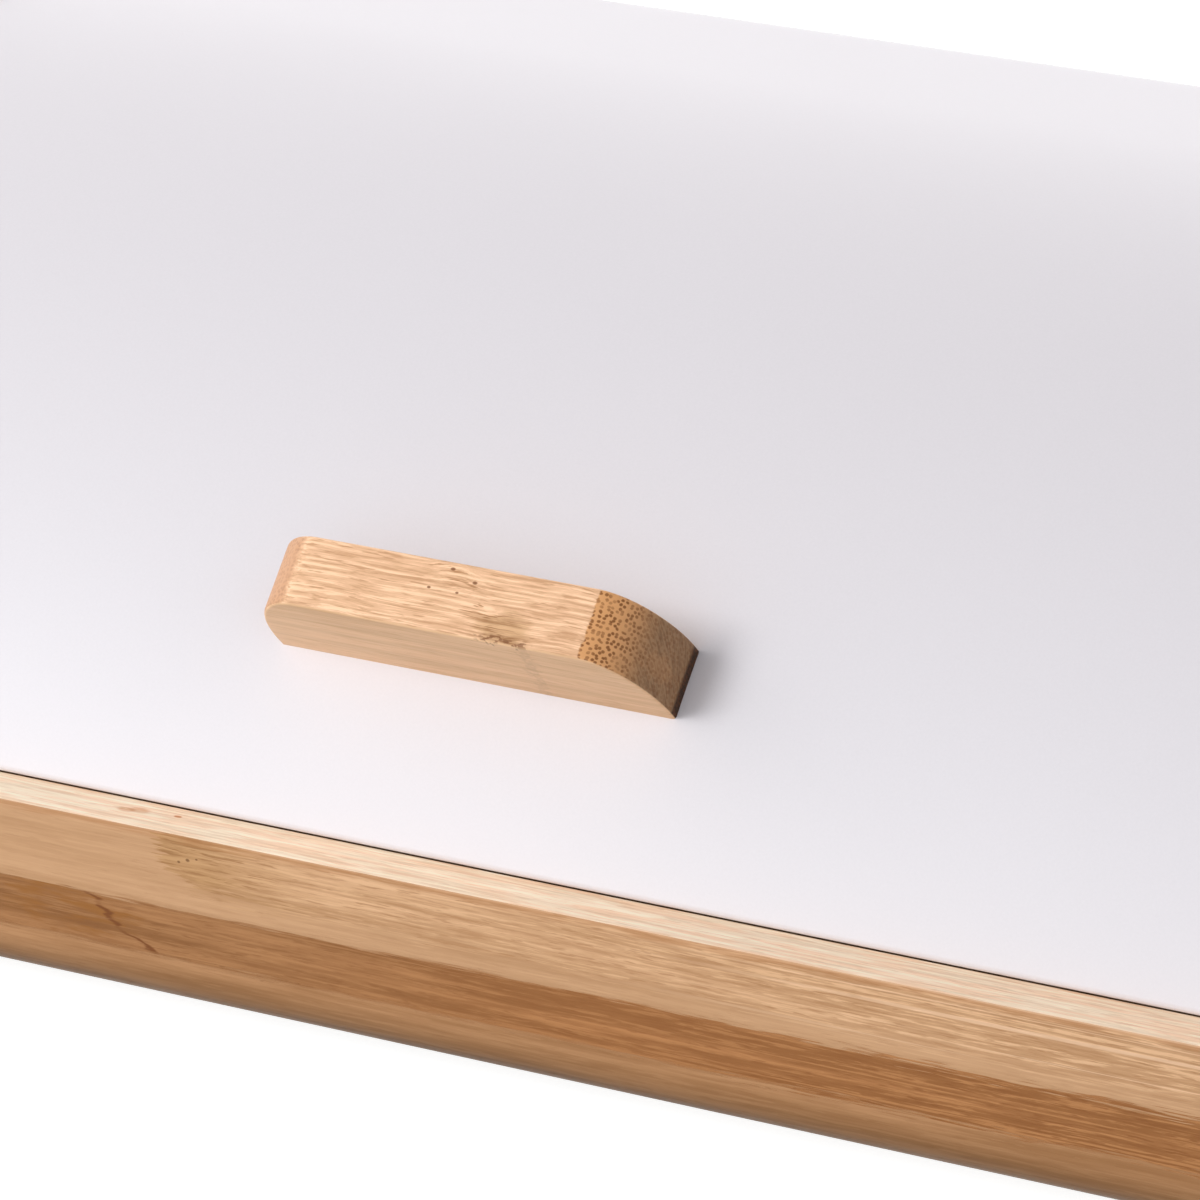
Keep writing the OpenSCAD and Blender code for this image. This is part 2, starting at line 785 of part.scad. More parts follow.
module drawer_bottom() {
    color(ply) tray_space();
}

module drawer_dowels_solid() {
    for (y = [drawer_y0 + wall_t / 2, drawer_y1 - wall_t / 2]) both_sides()
        rod_x(drawer_x - wall_t - dowel_deep, dowel_deep + dowel_shallow, dowel_dia / 2, y, drawer_dowel_z);
}

module drawer_dowels() {
    color(bamboo_edge) drawer_dowels_solid();
}

side_panel_left();
side_panel_right();
back_panel();
shelf_panel();
bottom_panel();
shelf_dowels();
back_screws();
bottom_screws();
feet();
foot_screws();
drawer_runner_left();
drawer_runner_right();
runner_screws();
drawer_stop_screws();
lid_bumpers();
lid_stop_pins();
hinge_insert_left();
hinge_insert_right();
hinge_screw_left();
hinge_screw_right();
hinge_bush_left();
hinge_bush_right();
lid_skin();
lid_end_plate_left();
lid_end_plate_right();
lid_handle();
handle_screws();
handle_washers();
drawer_front();
drawer_inner_front();
drawer_side_left();
drawer_side_right();
drawer_back();
drawer_bottom();
drawer_dowels();
drawer_front_screws();
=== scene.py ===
import json
import math

import bpy
from bpy.props import FloatProperty, FloatVectorProperty, PointerProperty
from bpy.types import Operator, Panel, PropertyGroup
from mathutils import Matrix, Vector


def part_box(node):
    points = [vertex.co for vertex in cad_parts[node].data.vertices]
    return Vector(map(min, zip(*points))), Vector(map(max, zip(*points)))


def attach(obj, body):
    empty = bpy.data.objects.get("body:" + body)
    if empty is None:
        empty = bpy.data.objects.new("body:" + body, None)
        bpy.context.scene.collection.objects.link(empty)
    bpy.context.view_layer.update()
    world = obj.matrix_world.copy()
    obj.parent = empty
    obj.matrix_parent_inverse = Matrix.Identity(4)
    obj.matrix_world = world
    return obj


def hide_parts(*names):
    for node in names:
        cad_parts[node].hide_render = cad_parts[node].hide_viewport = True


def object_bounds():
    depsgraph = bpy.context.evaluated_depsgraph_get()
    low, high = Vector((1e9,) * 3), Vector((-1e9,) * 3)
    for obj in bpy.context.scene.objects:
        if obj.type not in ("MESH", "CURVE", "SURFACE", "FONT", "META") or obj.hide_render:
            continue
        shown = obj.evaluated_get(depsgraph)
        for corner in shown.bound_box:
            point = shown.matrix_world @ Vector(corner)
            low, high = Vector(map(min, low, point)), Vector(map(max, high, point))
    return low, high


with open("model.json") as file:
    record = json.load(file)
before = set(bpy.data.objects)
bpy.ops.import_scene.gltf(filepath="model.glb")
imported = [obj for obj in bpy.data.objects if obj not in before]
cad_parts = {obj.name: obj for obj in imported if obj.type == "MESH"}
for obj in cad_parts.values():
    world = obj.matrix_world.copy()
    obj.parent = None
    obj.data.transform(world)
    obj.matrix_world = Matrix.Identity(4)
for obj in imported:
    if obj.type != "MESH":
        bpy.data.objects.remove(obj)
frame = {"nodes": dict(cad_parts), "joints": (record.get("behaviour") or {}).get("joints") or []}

bl_info = {
    "name": "Bread box with drawer",
    "version": (1, 0, 0),
    "blender": (4, 5, 0),
    "location": "3D View > Sidebar > Bread box",
    "description": "Finishes and fine shapes of a bamboo bread box with a steel lid and a drawer",
    "category": "Object",
}

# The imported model's own box, and the places that the finer pieces take over from it, in metres
CAD_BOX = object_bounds()
BOX_LOW, BOX_HIGH = CAD_BOX
SKIN_LOW, SKIN_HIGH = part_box("lid_skin")
FRONT_LOW, FRONT_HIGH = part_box("drawer_front")
HANDLE_LOW, HANDLE_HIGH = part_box("lid_handle")
HINGE = Vector(next(j["pos_m"] for j in frame["joints"] if j["name"] == "lid_hinge"))
MM = 0.001

# Steps of the curves and layers of the edges, and the angle from which an edge stays sharp
ARC_STEPS, ROLL_STEPS, BEAD_STEPS = 96, 40, 30
END_STEPS, SANDED_STEPS, FACE_STEPS, ROUND_STEPS, EDGE_SEGMENTS = 28, 5, 4, 16, 3
SHARP_ANGLE = math.radians(32)

# Bamboo fibres: counts per metre along and across them, detail, roughness
MOTTLE_NOISE, FIBRE_NOISE = (9, 230, 3, 0.6), (62, 1300, 4, 0.65)
LINE_NOISE, DASH_NOISE = (5, 1100, 1, 0.5), (150, 1700, 2, 0.5)
# Factors of the wood's red, green and blue in mottle, light lines, dark dashes and specks
MOTTLE_TINT, LINE_TINT, DASH_TINT = (0.7, 0.64, 0.54), (1.28, 1.36, 1.44), (0.56, 0.45, 0.32)
SPECK_TINT = (0.72, 0.42, 0.24)
# Dots of cut fibres per metre, across the strips and up
DOTS_ACROSS, DOTS_UP = 960, 800

# Specks in millimetres. Drawer front: along the board, below its top edge, reach
FRONT_SPECKS = ((-53.6, 5.3, 0.5), (-55.9, 6.1, 0.4), (-51.3, 4.7, 0.3))
# Drawer front's top edge: along the board, across its thickness, reach, strength
TOP_SPECKS = ((-61.5, -132.7, 0.9, 1.6), (-71, -133.6, 2.4, 0.6), (-74, -134.4, 2, 0.6))
# Handle's outer face: along the handle, up the slope, reach
HANDLE_SPECKS = ((0, 6.7, 0.5), (6.3, 4.4, 0.5), (-4.2, 1.5, 0.4), (2.9, 1.4, 0.35))

# Stage, in metres: the lamp in front, the floor, and where the brighter walls are
KEY_PLACE, KEY_SIZE, KEY_TINT = (-0.98, -1.44, 1.0), (0.66, 0.66), (0.975, 1, 1)
FLOOR_HALF, FLOOR_TONE, FLOOR_GLOW = 6, (0.49, 0.53, 0.54), 0.88
LEFT_WALL, BACK_WALL = (-0.97, -0.26, 0), (-0.47, 0.88, 0)


def paint(red, green, blue):
    """A colour as it looks on a screen, 0 to 255, in the values that the shaders work in."""
    return tuple(
        (c / 255 / 12.92) if c / 255 <= 0.04045 else ((c / 255 + 0.055) / 1.055) ** 2.4
        for c in (red, green, blue)
    )


# ---- Sizes and colours that a user would change ----


def number(name, description, default, **settings):
    return FloatProperty(name=name, description=description, default=default, **settings)


def length(name, description, millimetres):
    return number(name, description, millimetres * MM, unit="LENGTH", precision=5)


def angle(name, description, degrees):
    return number(name, description, math.radians(degrees), subtype="ANGLE")


def swatch(name, description, *screen):
    return FloatVectorProperty(
        name=name, description=description, default=paint(*screen), size=3, min=0, max=1,
        subtype="COLOR")


class LidSizes(PropertyGroup):
    arc_radius: length("Arc radius", "Outer radius of the lid's curve", 248)
    start: angle("Lower edge", "Angle on the arc at which the lower edge lies", 31)
    setback: length("Setback", "How far the lower edge lies behind the drawer front", 12)
    sheet: length("Sheet", "Thickness of the steel sheet", 1)
    bead_radius: length("Bead", "Radius of the bead along the lower edge", 1.3)
    roll_radius: length("Roll", "Radius of the roll round the hinge line", 14)
    roll_wrap: angle("Roll wrap", "How far the roll goes on below the hinge's level", 50)
    edge_soft: length("Sheet edge", "Softness of the sheet's cut edges", 0.2)


class HandleSizes(PropertyGroup):
    seat: angle("Seat angle", "Angle on the lid's arc at which the handle sits", 42.7)
    width: length("Width", "Width of the handle, up the slope", 17)
    height: length("Height", "Height of the handle off the lid", 27.5)
    end_run: length("End curve", "Length of the curve at each end", 15)
    toe: length("Toe", "Height of the upright edge at the foot of the end curve", 1.8)
    edge_soft: length("Edge softness", "Radius of the sanded long edges", 0.8)


class FrontSizes(PropertyGroup):
    lower_round: length("Lower edge", "Radius of the lower front edge", 7)
    edge_soft: length("Edge softness", "Radius of the other edges", 0.5)
    top_up: length("Top edge", "How far the top edge stands above the packed board's", 0.4)
    pull_width: length("Finger pull width", "Width of the finger pull", 96)
    pull_height: length("Finger pull height", "Height of the finger pull", 12)
    pull_deep: length("Finger pull depth", "Depth of the finger pull into the board", 5.5)
    first_strip: length("First strip", "Width of the upper, light strip of bamboo", 17.5)
    second_strip: length("Second strip", "Depth at which the middle, dark strip ends", 29.6)
    knot: length("Upper knot", "Place along the board of the upper strip's knot", -62)
    lower_knot: length("Lower knot", "Place along the board of the middle strip's knot", -78)


class Colours(PropertyGroup):
    lid: swatch("Lid paint", "Satin paint of the lid", 217, 212, 217)
    peach: swatch("Peach bamboo", "Plain light bamboo", 196, 152, 114)
    straw: swatch("Straw bamboo", "Light bamboo with dense fibres", 208, 163, 124)
    olive: swatch("Olive bamboo", "Light bamboo beside a knot", 182, 138, 95)
    orange: swatch("Dark bamboo", "Strongly toned bamboo", 172, 117, 72)
    tan: swatch("Tan bamboo", "Duller part of the dark strip", 162, 113, 72)
    fawn: swatch("Fawn bamboo", "Duller bamboo of the lowest strip", 179, 132, 92)
    # Painted light: this tone is paler than the wood and stands for light falling on the drawer
    # front's top
    crown_painted_light: swatch("Crown bamboo", "Pale bamboo along the top of the drawer front", 255, 234, 207)
    blush: swatch("Blush bamboo", "Pinkish patches along the drawer front's top", 250, 210, 176)
    # Painted shade: this tone darkens the drawer front's rounded lower edge where it turns away
    # from the light
    cocoa_painted_shade: swatch("Cocoa bamboo", "Darker bamboo along the lower edge", 122, 87, 57)
    rust: swatch("Rust", "Reddish wisps beside a knot", 146, 94, 44)
    russet: swatch("Russet", "Dark wisps and cracks of a knot", 116, 66, 30)
    umber: swatch("Umber", "Dark fibres and knots", 88, 50, 22)
    handle: swatch("Handle bamboo", "Bamboo of the handle's outer face", 226, 180, 143)
    handle_side: swatch("Handle side", "Smoother bamboo of the handle's sides", 232, 190, 151)
    grain_end: swatch("End grain", "Bamboo cut across its fibres", 214, 156, 104)
    grain_low: swatch("Deep end grain", "End grain near the handle's toe", 150, 116, 84)
    grain_left: swatch("Left end grain", "End grain of the handle's left end", 198, 149, 112)
    dowel: swatch("Dowel wood", "Beech of dowels and runners", 205, 168, 120)
    zinc: swatch("Zinc", "Zinc-plated steel", 196, 198, 202)
    brass: swatch("Brass", "Threaded inserts", 205, 170, 96)
    rubber: swatch("Rubber", "Feet and bumpers", 44, 44, 46)
    nylon: swatch("Nylon", "Hinge bushes", 232, 229, 219)


class StageSettings(PropertyGroup):
    azimuth: angle("Camera azimuth", "Turn of the camera round the box", 27.77)
    elevation: angle("Camera elevation", "Height of the camera above the horizon", 20.57)
    distance: length("Camera distance", "Distance of the camera from what it looks at", 1632.6)
    lens: number("Lens", "Focal length in millimetres", 219.9)
    aim_right: length("Aim right", "How far right of the handle the camera looks", 24.99)
    aim_up: length("Aim up", "How far above the handle the camera looks", 10.38)
    key: number("Key light", "Brightness of the lamp in front", 14.6)
    wall: number("Walls", "Brightness of the front and right walls", 1.08)
    left_wall: number("Left wall", "What the left wall adds to that", 0.3)
    back_wall: number("Back wall", "What the back wall adds to that", 1.65)
    ceiling: number("Ceiling", "Brightness of the ceiling", 0.2)


class BreadBoxSettings(PropertyGroup):
    lid: PointerProperty(type=LidSizes)
    handle: PointerProperty(type=HandleSizes)
    front: PointerProperty(type=FrontSizes)
    colours: PointerProperty(type=Colours)
    stage: PointerProperty(type=StageSettings)


def sizes():
    """The scene's sizes and colours."""
    return bpy.context.scene.bread_box


# ---- Shader nodes ----


def arithmetic(operation):
    """A method of Net that adds a maths node of one kind."""
    return lambda net, *values, clamp=False: net.math(operation, *values, clamp=clamp)


class Net:
    """Adds nodes to a tree. A value is a number, a colour, a vector or another node's socket."""

    def __init__(self, tree):
        self.tree = tree

    def add(self, kind, inputs=(), **settings):
        node = self.tree.nodes.new(kind)
        for name, value in settings.items():
            setattr(node, name, value)
        for key, value in dict(inputs).items():
            self.feed(node.inputs[key], value)
        return node

    def feed(self, socket, value):
        if isinstance(value, bpy.types.NodeSocket):
            self.tree.links.new(value, socket)
        elif value is not None:
            wide = socket.type == "RGBA" and len(value) == 3
            socket.default_value = (*value, 1) if wide else value

    def math(self, operation, *values, clamp=False):
        node = self.add("ShaderNodeMath", enumerate(values), operation=operation, use_clamp=clamp)
        return node.outputs[0]

    times, plus, minus = arithmetic("MULTIPLY"), arithmetic("ADD"), arithmetic("SUBTRACT")
    times_plus = arithmetic("MULTIPLY_ADD")
    larger, absolute = arithmetic("MAXIMUM"), arithmetic("ABSOLUTE")

    def scaled(self, place, factors):
        """A vector or colour, each part times its own factor."""
        return self.vector("MULTIPLY", place, factors)

    def vector(self, operation, *values):
        return self.add("ShaderNodeVectorMath", enumerate(values), operation=operation).outputs[0]

    def size_of(self, place):
        return self.add("ShaderNodeVectorMath", {0: place}, operation="LENGTH").outputs["Value"]

    def split(self, place):
        return self.add("ShaderNodeSeparateXYZ", {0: place}).outputs

    def join(self, x, y, z):
        return self.add("ShaderNodeCombineXYZ", {0: x, 1: y, 2: z}).outputs[0]

    def blend(self, factor, first, second):
        """The first colour where the factor is 0, the second where it is 1."""
        node = self.add("ShaderNodeMix", {0: factor}, data_type="RGBA")
        self.feed(node.inputs[6], first)
        self.feed(node.inputs[7], second)
        return node.outputs[2]

    def mix(self, factor, first, second):
        """The same for numbers."""
        return self.add("ShaderNodeMix", {0: factor, 2: first, 3: second}).outputs[0]

    def step(self, value, low, high, start=0.0, end=1.0):
        """start below low, end above high, and a smooth step between them."""
        inputs = {"Value": value, "From Min": low, "From Max": high, "To Min": start, "To Max": end}
        return self.add("ShaderNodeMapRange", inputs, interpolation_type="SMOOTHSTEP").outputs[0]

    def noise(self, place, scale, detail, roughness=0.5):
        inputs = {"Vector": place, "Scale": scale, "Detail": detail, "Roughness": roughness}
        return self.add("ShaderNodeTexNoise", inputs).outputs[0]

    def streaks(self, place, counts, detail=2, roughness=0.5):
        """Noise with its own count per metre along each axis."""
        return self.noise(self.scaled(place, counts), 1, detail, roughness)

    def cells(self, place, randomness):
        inputs = {"Vector": place, "Scale": 1, "Randomness": randomness}
        return self.add("ShaderNodeTexVoronoi", inputs, voronoi_dimensions="2D").outputs

    def random(self, value):
        return self.add("ShaderNodeTexWhiteNoise", {"W": value}, noise_dimensions="1D").outputs

    def group(self, tree, **inputs):
        return self.add("ShaderNodeGroup", inputs.items(), node_tree=tree).outputs


SOCKETS = {"value": "NodeSocketFloat", "vector": "NodeSocketVector", "colour": "NodeSocketColor"}


def shader_group(name, inputs, outputs):
    """An empty shader group with the named sockets: its net, its inputs and its output node."""
    tree = bpy.data.node_groups.new(name, "ShaderNodeTree")
    for direction, sockets in (("INPUT", inputs), ("OUTPUT", outputs)):
        for socket, kind in sockets.items():
            tree.interface.new_socket(name=socket, in_out=direction, socket_type=SOCKETS[kind])
    net = Net(tree)
    return tree, net, net.add("NodeGroupInput").outputs, net.add("NodeGroupOutput").inputs


def once(build):
    """Runs a builder of a group or material once, and gives the same one afterwards."""
    kept = {}

    def get(*values):
        if values not in kept:
            kept[values] = build(*values)
        return kept[values]

    return get


@once
def bamboo_group():
    """Bamboo with its fibres along X of the place: light lines, dark dashes and slow mottle."""
    tree, net, given, made = shader_group(
        "Bamboo fibres",
        {"Place": "vector", "Wave": "value", "Tone": "colour",
         "Lines": "value", "Dashes": "value", "Mottle": "value"},
        {"Colour": "colour", "Height": "value"},
    )
    bend = net.streaks(given["Place"], (45, 80, 80), 1)
    lift = net.times(net.minus(bend, 0.5), given["Wave"])
    place = net.vector("ADD", given["Place"], net.join(0, lift, lift))

    def drawn_out(along, across, detail, roughness):
        return net.streaks(place, (along, across, across), detail, roughness)

    slow = net.step(drawn_out(*MOTTLE_NOISE), 0.38, 0.62)
    fine = drawn_out(*FIBRE_NOISE)
    light = net.larger(net.step(fine, 0.5, 0.62), net.step(drawn_out(*LINE_NOISE), 0.6, 0.7))
    dash = net.step(drawn_out(*DASH_NOISE), 0.58, 0.68)
    dark = net.larger(net.step(fine, 0.36, 0.48, 0.85, 0), dash)
    wood = given["Tone"]
    for mask, strength, tint in ((slow, "Mottle", MOTTLE_TINT), (light, "Lines", LINE_TINT),
                                 (dark, "Dashes", DASH_TINT)):
        tinted = net.scaled(given["Tone"], tint)
        wood = net.blend(net.times(mask, given[strength]), wood, tinted)
    net.feed(made["Colour"], wood)
    net.feed(made["Height"], net.times_plus(dash, -0.4, fine))
    return tree


@once
def end_grain_group():
    """Bamboo cut across its fibres, which show as dark dots in a lighter ground."""
    tree, net, given, made = shader_group(
        "Bamboo end grain",
        {"Place": "vector", "Ground": "colour", "Fibre": "colour", "Contrast": "value"},
        {"Colour": "colour"},
    )
    _, across, up = net.split(given["Place"])
    bend = net.noise(given["Place"], 420, 2)
    spots = net.join(
        net.times_plus(bend, 0.9, net.times(across, DOTS_ACROSS)),
        net.times(up, DOTS_UP), 0)
    spots = net.cells(spots, 0.8)
    dots = net.step(spots["Distance"], 0.24, 0.44, 1, 0)
    cloud = net.streaks(given["Place"], (260, 260, 260))
    dots = net.times(dots, net.step(cloud, 0.35, 0.6, 0.5, 1))
    net.feed(made["Colour"], net.blend(
        net.times(dots, given["Contrast"]), given["Ground"], given["Fibre"]))
    return tree


@once
def patch_group():
    """A soft-edged patch with a ragged outline round a centre."""
    tree, net, given, made = shader_group(
        "Soft patch",
        {"Place": "vector", "Centre": "vector", "Size": "vector", "Ragged": "value"},
        {"Mask": "value"},
    )
    away = net.vector("SUBTRACT", given["Place"], given["Centre"])
    away = net.vector("DIVIDE", away, given["Size"])
    rough = net.streaks(given["Place"], (220, 900, 900))
    reach = net.times_plus(net.minus(rough, 0.5), given["Ragged"], net.size_of(away))
    net.feed(made["Mask"], net.step(reach, 0.45, 1, 1, 0))
    return tree


@once
def board_group():
    """Bamboo board glued from strips: colour, roughness and height. The fibres run along X."""
    tree, net, given, made = shader_group(
        "Bamboo strips",
        {"Place": "vector", "Strip": "value", "Seed": "value", "End": "value",
         "Light": "colour", "Dark": "colour", "Line": "colour", "Cut": "colour"},
        {"Colour": "colour", "Roughness": "value", "Height": "value"},
    )
    along, across, _ = net.split(given["Place"])
    rows = net.plus(net.math("DIVIDE", across, given["Strip"]), given["Seed"])
    row = net.math("FLOOR", rows)
    chance = net.split(net.random(net.times_plus(given["Seed"], 17.3, row))["Color"])
    shift = net.scaled(net.join(chance[0], chance[1], chance[2]), (4, 0, 2))
    place = net.vector("ADD", given["Place"], shift)

    edge = net.math("PINGPONG", net.minus(rows, row), 0.5)
    seam = net.step(net.times(edge, given["Strip"]), 0.05 * MM, 0.22 * MM, 1, 0)

    # A knot on each strip every 0.33 m or so: a thin dark line beside a slightly darker band
    knot_pitch = 0.33
    turn = net.math("FRACT", net.plus(net.math("DIVIDE", along, knot_pitch), chance[1]))
    near = net.times(net.minus(turn, 0.5), knot_pitch)
    wobble = net.minus(net.streaks(place, (60, 420, 420)), 0.5)
    near = net.times_plus(wobble, 5 * MM, near)
    side = net.step(near, -1 * MM, 1 * MM)
    band = net.step(net.absolute(near), 1.5 * MM, 6 * MM, 1, 0)
    line = net.step(net.absolute(near), 0.2 * MM, 0.7 * MM, 1, 0)

    tone = net.times_plus(side, 0.15, net.times(chance[0], 0.6))
    tone = net.times_plus(band, 0.25, tone, clamp=True)
    fibres = net.group(
        bamboo_group(), Place=place, Wave=0.6 * MM,
        Tone=net.blend(tone, given["Light"], given["Dark"]),
        Lines=net.times_plus(chance[2], 0.3, 0.15),
        Dashes=net.times_plus(chance[1], 0.3, 0.15), Mottle=0.5,
    )
    marks = net.larger(net.times(line, 0.5), net.times(seam, 0.4))
    wood = net.blend(marks, fibres["Colour"], given["Line"])
    cut = net.group(
        end_grain_group(), Place=place, Ground=given["Cut"], Fibre=given["Line"], Contrast=0.5)
    net.feed(made["Colour"], net.blend(given["End"], wood, cut["Colour"]))
    net.feed(made["Roughness"], net.step(fibres["Height"], 0.3, 0.7, 0.52, 0.4))
    net.feed(made["Height"], net.minus(fibres["Height"], seam))
    return tree


@once
def speckle_group():
    """Powder coat: a fine grain of colour and height without direction."""
    tree, net, given, made = shader_group(
        "Paint grain",
        {"Place": "vector", "Colour": "colour"},
        {"Colour": "colour", "Height": "value", "Roughness": "value"},
    )
    grain = net.noise(given["Place"], 1700, 2, 0.6)
    cloud = net.noise(given["Place"], 24, 2)
    tint = net.times_plus(net.minus(grain, 0.5), 0.06, 1)
    tint = net.times_plus(net.minus(cloud, 0.5), 0.012, tint)
    net.feed(made["Colour"], net.scaled(given["Colour"], net.join(tint, tint, tint)))
    net.feed(made["Height"], grain)
    net.feed(made["Roughness"], net.step(grain, 0.2, 0.8, 0.47, 0.53))
    return tree


# ---- Materials ----


def empty_net(owner):
    """The net of a material or world, with no nodes in it."""
    owner.use_nodes = True
    owner.node_tree.nodes.clear()
    return Net(owner.node_tree)


def new_material(name):
    """An empty material, its net and its Principled shader."""
    material = bpy.data.materials.new(name)
    net = empty_net(material)
    shader = net.add("ShaderNodeBsdfPrincipled")
    net.add("ShaderNodeOutputMaterial", {"Surface": shader.outputs[0]})
    return material, net, shader


def dress(net, shader, colour, roughness, height, relief, metallic=None, shine=None):
    """Feeds a shader's colour, roughness, shine and relief, which is the bump's depth in metres."""
    net.feed(shader.inputs["Specular IOR Level"], shine)
    net.feed(shader.inputs["Base Color"], colour)
    net.feed(shader.inputs["Roughness"], roughness)
    net.feed(shader.inputs["Metallic"], metallic)
    bump = net.add("ShaderNodeBump", {"Height": height, "Distance": relief, "Strength": 1.0})
    net.feed(shader.inputs["Normal"], bump.outputs[0])


def object_place(net):
    return net.add("ShaderNodeTexCoord").outputs["Object"]


def surface_facing(net):
    """The surface's own direction in the piece's space, split into X, Y and Z."""
    return net.split(net.add("ShaderNodeTexCoord").outputs["Normal"])


@once
def board_material(name, axes, strip, seed):
    """Bamboo board with its fibres along one axis and its strips side by side across another."""
    material, net, shader = new_material(name)
    tones = sizes().colours
    along, across = axes
    deep = next(axis for axis in "XYZ" if axis not in axes)
    parts = net.split(object_place(net))
    place = net.join(parts[along], parts[across], parts[deep])
    facing = net.absolute(surface_facing(net)[along])
    board = net.group(
        board_group(), Place=place, Strip=strip, Seed=seed, End=net.step(facing, 0.55, 0.8),
        Light=tones.peach, Dark=tones.orange, Line=tones.umber, Cut=tones.grain_end)
    dress(net, shader, board["Colour"], board["Roughness"], board["Height"], relief=0.03 * MM,
          shine=0.25)
    return material


def darker(tone, share):
    """The same colour with only a share of its light."""
    return tuple(part * share for part in tone)


def patch(net, place, centre, size, ragged):
    """The mask of a soft patch, from its centre and reach along each axis in metres."""
    return net.group(patch_group(), Place=place, Centre=centre, Size=size, Ragged=ragged)["Mask"]


def covered(net, base, *covers):
    """One bamboo finish over another: each cover is a mask and the values that it changes."""
    values = dict(base)
    for mask, changes in covers:
        for name, value in changes.items():
            over = net.blend if name == "Tone" else net.mix
            values[name] = over(mask, values[name], value)
    return values


@once
def front_material():
    """The drawer front: a light, a dark and a fawn strip, each with its own fibres."""
    material, net, shader = new_material("front_bamboo_strips")
    tones, front = sizes().colours, sizes().front
    x, y, z = net.split(object_place(net))
    down = net.minus(FRONT_HIGH.z, z)
    place = net.join(x, down, y)
    facing = surface_facing(net)
    ragged = net.minus(net.streaks(place, (90, 420, 420), 3), 0.5)
    jagged = net.minus(net.streaks(place, (80, 2200, 2200)), 0.5)

    # Which strip a point lies on: the glue lines run almost level, and fray towards the right
    far = net.step(x, 0.03, 0.16)
    feather = net.times_plus(jagged, net.times_plus(far, 5 * MM, 3 * MM), down)
    first = net.times_plus(x, 0.006, feather)
    on_second = net.step(first, front.first_strip - 0.4 * MM, front.first_strip + 0.5 * MM)
    second = net.times_plus(x, 0.004, feather)
    on_third = net.step(second, front.second_strip - 0.5 * MM, front.second_strip + 0.6 * MM)
    topside = net.step(facing["Z"], 0.6, 0.9)

    # Upper strip: peach left of its knot, straw with dashes right of it, plain along its lower edge
    bow = net.times(net.math("POWER", net.math("DIVIDE", down, 11 * MM), 3), 8 * MM)
    past = net.minus(net.minus(x, front.knot), net.math("MINIMUM", bow, 8 * MM))
    rough = net.times_plus(ragged, 10 * MM, net.times(jagged, 22 * MM))
    past = net.plus(past, rough)
    right = net.step(past, -0.8 * MM, 1.2 * MM)
    upper = net.step(net.times_plus(jagged, 14 * MM, down), 9 * MM, 15 * MM, 1, 0)
    straw = net.times(right, upper)
    knot = net.times(straw, net.step(past, 3 * MM, 45 * MM, 1, 0))

    # Middle strip duller at the left, lowest strip darker downwards as painted shade of its rounded
    # lower edge, top edge cream and pink and made paler as painted light from above
    second_tone = net.blend(net.step(x, -0.05, 0.06), tones.tan, tones.orange)
    low = net.step(down, front.second_strip + 1 * MM, front.second_strip + 10 * MM, 0, 0.8)
    blush = net.streaks(place, (55, 640, 640), 3)
    blush = net.plus(net.step(blush, 0.42, 0.62, 0, 0.7), net.step(x, -0.08, 0.2, 0, 0.3))
    # The top's own cream and pink patches, with the cream made paler as painted light from above
    crown_painted_light = net.blend(blush, tones.crown_painted_light, tones.blush)
    finish = covered(
        net,
        dict(Tone=tones.peach, Lines=0.16, Dashes=0.14, Mottle=0.35, Wave=0.6 * MM),
        (straw, dict(Tone=tones.straw, Lines=net.times_plus(far, 0.25, 0.5), Dashes=0.5,
                     Mottle=0.55)),
        (knot, dict(Tone=tones.olive, Dashes=0.7)),
        (on_second, dict(Tone=second_tone, Lines=net.times_plus(far, 0.25, 0.4),
                         Dashes=net.times_plus(far, 0.25, 0.4), Mottle=1.0)),
        (on_third, dict(Tone=tones.fawn, Lines=0.22, Dashes=0.2, Mottle=0.9)),
        # Painted shade: the lowest strip darkens downwards towards the cocoa tone
        (low, dict(Tone=tones.cocoa_painted_shade)),
        # Painted light: faces that look up take the pale crown tone
        (topside, dict(Tone=crown_painted_light, Lines=0.4, Dashes=0.28, Mottle=0.1)),
    )
    # Fibres that don't run on from one strip into the next
    strip = net.plus(on_second, on_third)
    apart = net.scaled(net.join(strip, strip, topside), (1.31, 0.17, 0.43))
    fibres = net.group(bamboo_group(), Place=net.vector("ADD", place, apart), **finish)
    wood = fibres["Colour"]

    # Long fine threads of light bamboo over the upper strip's right half
    threads = net.streaks(place, (4, 1300, 1300))
    threads = net.times(net.step(threads, 0.56, 0.66), net.times(far, 0.5))
    threads = net.times(threads, net.minus(1, net.larger(on_second, topside)))
    threads = net.times(threads, net.step(down, 12 * MM, 15 * MM, 1, 0))
    wood = net.blend(threads, wood, tones.blush)

    middle = net.times(on_second, net.minus(1, on_third))
    wood = front_marks(net, wood, place, ragged, topside, middle)

    # A thin dark line of outer bamboo under the top edge
    rim = net.step(net.times_plus(jagged, 4 * MM, down), 0.3 * MM, 1.6 * MM, 0.45, 0)
    wood = net.blend(net.times(rim, net.minus(1, topside)), wood, tones.orange)

    cut = net.group(
        end_grain_group(), Place=place, Ground=tones.grain_end, Fibre=tones.umber, Contrast=0.55)
    wood = net.blend(net.step(net.absolute(facing["X"]), 0.55, 0.8), wood, cut["Colour"])
    dress(net, shader, wood, net.step(fibres["Height"], 0.3, 0.7, 0.5, 0.4), fibres["Height"],
          relief=0.03 * MM, shine=0.2)
    return material


